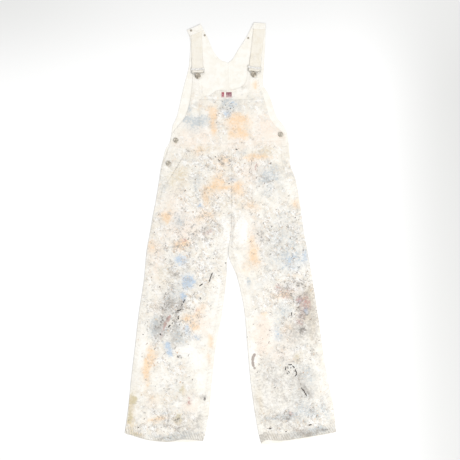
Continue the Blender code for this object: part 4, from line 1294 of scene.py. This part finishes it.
def hip_pockets(sewing):
    """Each lies under a slanted opening that gapes a little."""
    for pocket in POCKETS:
        name, sign = "front_pocket_" + pocket.side, 1 if pocket.side == "left" else -1
        slant, inner = smooth_line(pocket.slant), upright(pocket.inner)
        sides = (slant, inner) if sign == 1 else (inner, slant)
        ends = (pocket.bottom, along_waist(*pocket.waist, UNDER_BAND))
        opening = side_line(slant, *pocket.opening)
        low = on_panel("front_leg_" + pocket.side, sides, ends, gape=(opening, pocket.gape, 22))
        top = cloth(name, sides, ends, low, step=3.2,
                    trims=[Trim(opening, 0, 13, pocket.trim, 0.22, 9.5)]).top
        sewing.rows(cross_line(sides, ends[0]), (2.2, 6.8), top)
        sewing.rows(side_line(inner, *pocket.inner_rows), (2.2 * sign, 6.8 * sign), top)
        sewing.rows(opening, (-2.4 * sign, -11.0 * sign), top)
        sewing.rows(side_line(slant, *pocket.below), (-2.4 * sign,), top)


def plackets(sewing):
    for placket in PLACKETS:
        name = "side_placket_" + placket.side
        sides = (inset(placket.edge, placket.near), inset(placket.edge, placket.far))
        ends = (level(placket.bottom), along_waist(*placket.waist, UNDER_BAND))
        low = on_panel("front_leg_" + placket.side, sides, ends, 0.3)
        top = cloth(name, sides, ends, low, step=3.0).top
        for line, offset in ((sides[0], -2.2), (sides[1], 2.2)):
            sewing.rows(side_line(line, placket.bottom + 3, placket.top), (offset,), top)
        sewing.rows(cross_line(sides, ends[0]), (2.4,), top)

    curve = smooth_line(((84, 10), (92, 22), (106, 31), (130, 36), (290, 36)))
    start = upright(3.5)
    sides, ends = (start, curve), (level(85), along_waist(3.5, 36, UNDER_BAND))
    low = on_panel("front_leg_right", sides, ends, 0.3)
    top = cloth("fly_placket", sides, ends, low, step=3.0).top
    sewing.rows(side_line(curve, 86, 285, 4.0), (2.2,), top)
    sewing.rows(side_line(curve, 92, 285, 4.0), (6.6,), top)
    sewing.rows(side_line(start, 88, 283), (-2.4,), top)


def bib_pocket_and_label(sewing):
    """The pocket is one cloth with a stitched division; the label lies above its mouth."""
    west, east = upright(-107), smooth_line(((359, 107), (457, 100)))
    sides = (west, east)
    ends = (((0, 366), (0.07, 360), (0.9, 359), (1, 371)), ((0, 456), (0.5, 454), (1, 458)))
    mouth = cross_line(sides, ends[1])
    division = np.array([(-5.0, 364.0), (-5.0, 452.0)])
    low = on_panel("front_bib", sides, ends, 0.7, gape=(mouth, 0.2, 16))
    top = cloth("bib_pocket", sides, ends, low, step=3.0,
                trims=[Trim(mouth, 0, 16, 0.18, 0.18, 9.5),
                       Trim(division, 0, 3, -0.35, 0.1, 9.0)]).top
    sewing.rows(cross_line(sides, ends[0]), (2.2, 6.6), top)
    sewing.rows(side_line(west, 370, 452), (-2.2, -6.6), top)
    sewing.rows(side_line(east, 374, 454), (2.2, 6.6), top)
    sewing.rows(mouth, (-2.4, -14.0), top)
    sewing.rows(division, (-2.2, 2.2), top)

    sides = (upright(LABEL_LEFT), upright(LABEL_RIGHT))
    ends = (level(LABEL_LOW), level(LABEL_HIGH))
    low = on_panel("front_bib", sides, ends, 0.15)
    top = cloth("bib_label", sides, ends, low, step=1.5, wall=LABEL_WALL, look="label").top
    sewing.rows(cross_line(sides, ends[0]), (1.2,), top, step=3.2)
    sewing.rows(cross_line(sides, ends[1]), (-1.2,), top, step=3.2)


def patches():
    sewing = Stitching("stitching_pockets")
    hip_pockets(sewing)
    plackets(sewing)
    bib_pocket_and_label(sewing)
    sewing.make()


Strap = namedtuple("Strap", "side button degrees length skew")
STRAPS = (
    Strap("left", LEFT_BUTTON, -2.0, 134.0, 0.42),
    Strap("right", RIGHT_BUTTON, 6.6, 142.0, 0.05),
)


def shoulder_tabs():
    """The ends of the arms, turned over the webbing and sewn down with a cross."""
    sewing = Stitching("stitching_straps")
    for strap, sides, arm_end in zip(
            STRAPS, ((inset(back_left, 0.5), inset(left_notch, -0.8)),
                     (inset(right_notch, 0.8), inset(back_right, -0.5))),
            (LEFT_ARM_END, RIGHT_ARM_END)):
        end = smooth_line(arm_end)
        low_end = end_line(arm_end, TAB_LENGTH)
        left_x, right_x = arm_end[0][0], arm_end[1][0]

        def low(x, y, end=end, strap=strap):
            """Rises over the webbing and comes down beside it."""
            slope = math.tan(math.radians(strap.degrees))
            middle = strap.button.x + (y - strap.button.y) * slope
            over = 1 - smooth_step((np.abs(x - middle) - WEB_WIDTH / 2 - 0.5) / 4.5)
            risen = smooth_step((end(x) - y) / TAB_RISE)
            return PANEL + LAY + (WEB_WALL + 0.15) * risen * (0.12 + 0.88 * over)

        edge = cross_line(sides, low_end)
        top = cloth("shoulder_tab_" + strap.side, sides, (low_end, end_line(arm_end, 0.4)), low,
                    step=1.8, trims=[Trim(edge, 0, 6, 0.25, 0.12, 8.0)]).top
        high = float(end((left_x + right_x) / 2))
        lines = [((left_x + 10, high - TAB_LENGTH + 3), (right_x - 6, high - 4)),
                 ((left_x + 10, high - 5), (right_x - 6, high - TAB_LENGTH + 4))]
        for x in (left_x + (right_x - left_x) * share for share in (0.14, 0.86)):
            lines.append(((x, float(end(x)) - TAB_LENGTH + 3), (x, float(end(x)) - 3)))
        sewing.rows(edge, (2.0, 6.0), top, step=3.2)
        for line in lines:
            sewing.rows(np.array(line), (0,), top, step=3.2)
    sewing.make()


def smooth_path(points, step, closed=False):
    """Points at an even step along a smooth curve through the given ones."""
    p = np.array(points, float)
    ring = np.concatenate([p[-1:], p, p[:2]]) if closed else np.concatenate([p[:1], p, p[-1:]])
    dense = []
    for a, b, c, d in zip(ring, ring[1:], ring[2:], ring[3:]):
        for t in np.linspace(0, 1, 16, endpoint=False):
            dense.append(0.5 * (2 * b + (c - a) * t + (2 * a - 5 * b + 4 * c - d) * t * t
                                + (3 * b - a - 3 * c + d) * t ** 3))
    dense.append(dense[0] if closed else p[-1])
    dense = np.array(dense)
    arcs = np.concatenate(([0], np.cumsum(np.linalg.norm(np.diff(dense, axis=0), axis=1))))
    spots = np.linspace(0, arcs[-1], max(4, int(arcs[-1] / step)) + 1)
    even = np.stack([np.interp(spots, arcs, dense[:, k]) for k in range(dense.shape[1])], 1)
    return even[:-1] if closed else even


def tube(name, path, radius, sides=14):
    """A closed ring of wire along a path."""
    count = len(path)
    run = np.roll(path, -1, 0) - np.roll(path, 1, 0)
    run /= np.linalg.norm(run, axis=1)[:, None]
    out = np.cross(run, (0, 0, 1.0))
    out /= np.linalg.norm(out, axis=1)[:, None]
    up = np.cross(out, run)
    turn = np.linspace(0, math.tau, sides, endpoint=False)
    points = (path[:, None] + radius * (out[:, None] * np.cos(turn)[:, None]
                                        + up[:, None] * np.sin(turn)[:, None])).reshape(-1, 3)
    i, k = np.meshgrid(np.arange(count), np.arange(sides), indexing="ij")
    n, m = (i + 1) % count, (k + 1) % sides
    faces = np.stack([i * sides + k, i * sides + m, n * sides + m, n * sides + k], 2)
    obj = mesh_object(name, points * MM, faces.reshape(-1, 4))
    obj.data.materials.append(finishes["wire"])
    return obj


def turned(name, x, y, z, profile, sides=44, finish="metal"):
    """A round piece from a profile of (radius, height)."""
    smooth = smooth_path(profile, 0.35)
    turn = np.linspace(0, math.tau, sides, endpoint=False)
    points = [(x + r * math.cos(a), y + r * math.sin(a), z + h) for r, h in smooth for a in turn]
    count = len(smooth)
    faces = [(i * sides + k, i * sides + (k + 1) % sides, (i + 1) * sides + (k + 1) % sides,
              (i + 1) * sides + k) for i in range(count - 1) for k in range(sides)]
    faces.append(tuple(range(sides - 1, -1, -1)))
    faces.append(tuple((count - 1) * sides + k for k in range(sides)))
    obj = mesh_object(name, np.array(points) * MM, faces)
    obj.data.materials.append(finishes[finish])
    on_root(obj, "metal", name)


def strap_place(button, tilt):
    """Places points given across and along a strap, from the middle of its slide."""
    along = np.array((math.sin(tilt), math.cos(tilt)))
    across = np.array((math.cos(tilt), -math.sin(tilt)))
    middle = np.array(button) + along * SLIDE_TO_BUTTON

    def place(points):
        points = np.asarray(points, float)
        flat = middle + points[..., :1] * across + points[..., 1:2] * along
        return np.concatenate([flat, points[..., 2:]], -1)
    return place


def webbing(name, place, length, skew):
    flat = PANEL + LAY + WEB_WALL / 2
    over = flat + WEB_WALL + WEB_LAY
    path = [(length, flat), (100, flat + 0.1), (60, flat + 0.05), (44, flat + 0.1), (31, over),
            (10, over), (SLIDE_RUN, UPPER_RUN), (-SLIDE_RUN, UPPER_RUN)]
    for degrees in (60, 90, 120, 150, 180, 210, 240, 270):
        turn = math.radians(degrees)
        path.append((HOOK_BAR + LOOP_RADIUS * math.cos(turn),
                     BAR_HEIGHT + LOOP_RADIUS * math.sin(turn)))
    path += [(-SLIDE_RUN, LOWER_RUN), (SLIDE_RUN, LOWER_RUN), (9, flat), (28, flat)]
    middle = smooth_path(path, 1.1)
    run = np.gradient(middle, axis=0)
    run /= np.linalg.norm(run, axis=1)[:, None]
    out = np.stack([run[:, 1], -run[:, 0]], 1)
    half = WEB_WIDTH / 2
    # Once round the strap's cross section: ribbed faces and rounded edges.
    across = np.linspace(-half, half, 37)
    ribs = WEB_WALL / 2 - 0.07 + 0.07 * np.cos(across * math.tau / 2.05)
    ribs[[0, -1]] *= 0.45
    ring = np.concatenate([np.stack([across, ribs], 1), np.stack([across, -ribs], 1)[::-1]])
    slant = np.zeros(len(middle))
    slant[:8] = skew * np.linspace(1, 0, 8)
    s = middle[:, None, 0] + out[:, None, 0] * ring[:, 1] + slant[:, None] * ring[:, 0]
    z = middle[:, None, 1] + out[:, None, 1] * ring[:, 1]
    a = np.broadcast_to(ring[:, 0], s.shape)
    points = place(np.stack([a, s, z], 2)).reshape(-1, 3)
    count, sides = len(middle), len(ring)
    i, k = np.meshgrid(np.arange(count - 1), np.arange(sides), indexing="ij")
    m = (k + 1) % sides
    faces = np.stack([i * sides + k, (i + 1) * sides + k, (i + 1) * sides + m, i * sides + m], 2)
    faces = [tuple(f) for f in faces.reshape(-1, 4)]
    faces.append(tuple(range(sides)))
    faces.append(tuple((count - 1) * sides + k for k in range(sides - 1, -1, -1)))
    obj = mesh_object(name, points * MM, faces)
    obj.data.materials.append(finishes["webbing"])
    on_root(obj, "webbing", name)
    run_length = np.linalg.norm(np.diff(middle, axis=0), axis=1).sum()
    pieces[name] = Cloth(obj, None, run_length * WEB_WIDTH * MM * MM)
    return Sheet(name, WEB_WIDTH, run_length, name.replace("webbing", "back_bib"))


def slide(name, place):
    outer = [(-23, 3.3), (-23, 5.4), (-20.6, 7.2), (20.6, 7.2),
             (23, 5.4), (23, 3.3), (20.6, 1.5), (-20.6, 1.5)]
    inner = [(-19.3, 3.3), (-19.3, 5.4), (-19.0, 6.25), (19.0, 6.25),
             (19.3, 5.4), (19.3, 3.3), (19.0, 2.45), (-19.0, 2.45)]
    rings = [(outer, SLIDE_HALF), (outer, -SLIDE_HALF), (inner, -SLIDE_HALF), (inner, SLIDE_HALF)]
    points = place([(a, s, z) for outline, s in rings for a, z in outline])
    sides = len(outer)
    faces = [(r * sides + k, r * sides + (k + 1) % sides, (r + 1) % 4 * sides + (k + 1) % sides,
              (r + 1) % 4 * sides + k) for r in range(4) for k in range(sides)]
    obj = mesh_object(name, points * MM, faces, smooth=False)
    bevel = obj.modifiers.new("rounded edges", "BEVEL")
    bevel.width = 0.42 * MM
    bevel.segments = 3
    bevel.limit_method = "ANGLE"
    obj.data.shade_smooth()
    obj.data.set_sharp_from_angle(angle=math.radians(50))
    obj.data.materials.append(finishes["nickel"])
    on_root(obj, "metal", name)


def hook(name, place):
    half = [(0, HOOK_BAR, BAR_HEIGHT), (12, HOOK_BAR, BAR_HEIGHT), (19.4, HOOK_BAR, BAR_HEIGHT),
            (20.9, HOOK_BAR - 0.9, BAR_HEIGHT), (20.6, -13.0, BAR_HEIGHT + 0.2),
            (13.0, -16.3, 5.4), (7.2, -19.0, RING_HEIGHT)]
    for degrees in (25, -5, -35, -65):
        turn = math.radians(degrees)
        half.append((RING_RADIUS * math.cos(turn),
                     RING_RADIUS * math.sin(turn) - SLIDE_TO_BUTTON, RING_HEIGHT))
    points = half + [(0, -RING_RADIUS - SLIDE_TO_BUTTON, RING_HEIGHT)]
    points += [(-a, s, z) for a, s, z in half[:0:-1]]
    on_root(tube(name, place(smooth_path(points, 0.8, closed=True)), WIRE), "metal", name)


def straps():
    """Webbing, slides, hooks and bib buttons. Returns the sheets of the webbing."""
    sheets = []
    for strap in STRAPS:
        place = strap_place(strap.button, math.radians(strap.degrees))
        sheets.append(webbing("webbing_" + strap.side, place, strap.length, strap.skew))
        slide("slide_" + strap.side, place)
        hook("hook_" + strap.side, place)
        name = "bib_button_" + strap.side
        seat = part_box(name)[0][2] / MM
        cap = RING_HEIGHT + WIRE + LAY - seat
        profile = [(3.6, 0), (3.6, cap * 0.5), (3.7, cap - 0.1)]
        profile += [(radius, cap + height) for radius, height in BIB_BUTTON]
        turned(name, strap.button.x, strap.button.y, seat, profile)
    return sheets


# Profiles as (radius, height) in millimetres, from the seat or the cap's rim to the middle.
BIB_BUTTON = ((8.6, 0), (9.4, 0.35), (9.5, 0.9), (9.1, 1.6), (7.9, 2.2), (7.0, 2.55), (6.3, 2.3),
              (5.6, 2.1), (4.4, 2.3), (2.4, 2.6), (0.6, 2.65))
SIDE_BUTTON = ((4, 0), (4, 1.2), (7.6, 1.3), (8.4, 1.7), (8.5, 2.2), (8.0, 3.0), (7.0, 3.5),
               (6.2, 3.6), (5.4, 3.25), (4.6, 3.2), (3.4, 3.5), (2.0, 3.65), (0.5, 3.65))
RIVET = ((3.3, 0), (3.5, 0.4), (3.4, 0.8), (2.9, 1.3), (2.3, 1.45), (1.6, 1.5), (1.0, 1.8),
         (0.3, 1.85))


def fasteners():
    for names, profile, sides, finish in (
            (("side_button_left_upper", "side_button_left_lower", "side_button_right_upper"),
             SIDE_BUTTON, 44, "rubbed"),
            (("rivet_tab_left", "rivet_notch_left", "rivet_notch_right"), RIVET, 28, "metal")):
        for name in names:
            low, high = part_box(name)
            x, y = [(low[i] + high[i]) / 2 / MM for i in (0, 1)]
            turned(name, x, y, low[2] / MM, profile, sides, finish)


def paper_floor():
    """The pale sheet that the garment lies on."""
    f = Finish("pale paper")
    place = f.place()
    x, y = f.parts(place)[:2]
    grain = f.noise(place, 3, 2)
    # Painted shade: the paper darkens towards its far edge, its right side and its upper left
    # corner, where the light falls off.
    top = y.between(0.45, 0.85)
    corner = (x * -1).between(0.2, 0.85) * y.between(0.2, 0.8)
    painted_falloff_shade = x.between(0.36, 0.80) * (1 - top * 0.7) * 0.78 + top * 0.40 + corner * 0.22
    colour = f.mix((0.915, 0.915, 0.912), (0.93, 0.93, 0.928), grain)
    colour = f.mix(colour, (0.565, 0.567, 0.555), painted_falloff_shade)
    material = f.set(Base_Color=colour, Roughness=0.95)
    half = 4000.0
    floor = mesh_object("floor", np.array([(-half, -half, 0), (half, -half, 0), (half, half, 0),
                                           (-half, half, 0)]) * MM, [(0, 1, 2, 3)], smooth=False)
    floor.location.z = -0.0004
    floor.data.materials.append(material)


def area_light(name, place, size, power):
    """A disk lamp that faces the garment's middle."""
    light = bpy.data.lights.new(name, "AREA")
    light.shape = "DISK"
    light.size = size
    light.energy = power
    obj = bpy.data.objects.new(name, light)
    obj.location = place
    obj.rotation_euler = (-Vector(place)).to_track_quat("-Z", "Y").to_euler()
    bpy.context.collection.objects.link(obj)


def studio():
    """Strong soft light from the lower right, a camera straight above, and white all round."""
    scene = bpy.context.scene
    world = bpy.data.worlds.new("white room")
    world.use_nodes = True
    room = world.node_tree.nodes["Background"].inputs
    room["Color"].default_value = (1, 1, 1, 1)
    room["Strength"].default_value = 0.68
    scene.world = world
    area_light("key", (2.2, -1.7, 3.2), 1.8, 103)
    area_light("fill", (-1.6, 2.4, 3.2), 2.4, 36)
    scene.view_settings.view_transform = "Standard"
    scene.view_settings.look = "None"
    camera = bpy.data.cameras.new("camera")
    film, height = 36.0, 6.0
    camera.sensor_width = film
    camera.lens = film * height / (PHOTO_SIDE * PIXEL * MM)
    obj = bpy.data.objects.new("camera", camera)
    middle = photo(PHOTO_SIDE / 2, PHOTO_SIDE / 2)
    obj.location = (middle[0] * MM, middle[1] * MM, height)
    bpy.context.collection.objects.link(obj)
    scene.camera = obj


# What shows of each piece, as the rectangle round it, and what it lies on.
Sheet = namedtuple("Sheet", "name width length rests_on")
SHEETS = table(
    Sheet,
    ("back_leg_left", 366, 1010, "floor"), ("back_leg_right", 370, 1026, "floor"),
    ("back_bib_left", 222, 426, "floor"), ("back_bib_right", 206, 426, "floor"),
    ("front_leg_left", 366, 1000, "back_leg_left"),
    ("front_leg_right", 370, 1014, "back_leg_right"),
    ("waistband", 412, 22, "back_leg_left"), ("front_bib", 400, 254, "back_bib_left"),
    ("front_pocket_left", 154, 200, "front_leg_left"),
    ("front_pocket_right", 150, 208, "front_leg_right"),
    ("side_placket_left", 26, 106, "front_leg_left"),
    ("side_placket_right", 26, 112, "front_leg_right"),
    ("fly_placket", 33, 205, "front_leg_right"),
    ("bib_pocket", 214, 100, "front_bib"), ("bib_label", 37, 20, "front_bib"),
    ("shoulder_tab_left", 60, 24, "back_bib_left"),
    ("shoulder_tab_right", 51, 24, "back_bib_right"),
)


def declare(sheet):
    """Works out the area of the rectangle round a piece and its own flat area, and keeps neither.
    """
    piece = pieces[sheet.name]
    box_area = sheet.width * sheet.length * MM * MM
    sheet.width * MM
    min(piece.area, box_area)


def build():
    studio()
    paper_floor()
    back_panels()
    front_panels()
    bib_and_band()
    patches()
    shoulder_tabs()
    webbing_sheets = straps()
    fasteners()
    for sheet in (*SHEETS, *webbing_sheets):
        declare(sheet)


build()
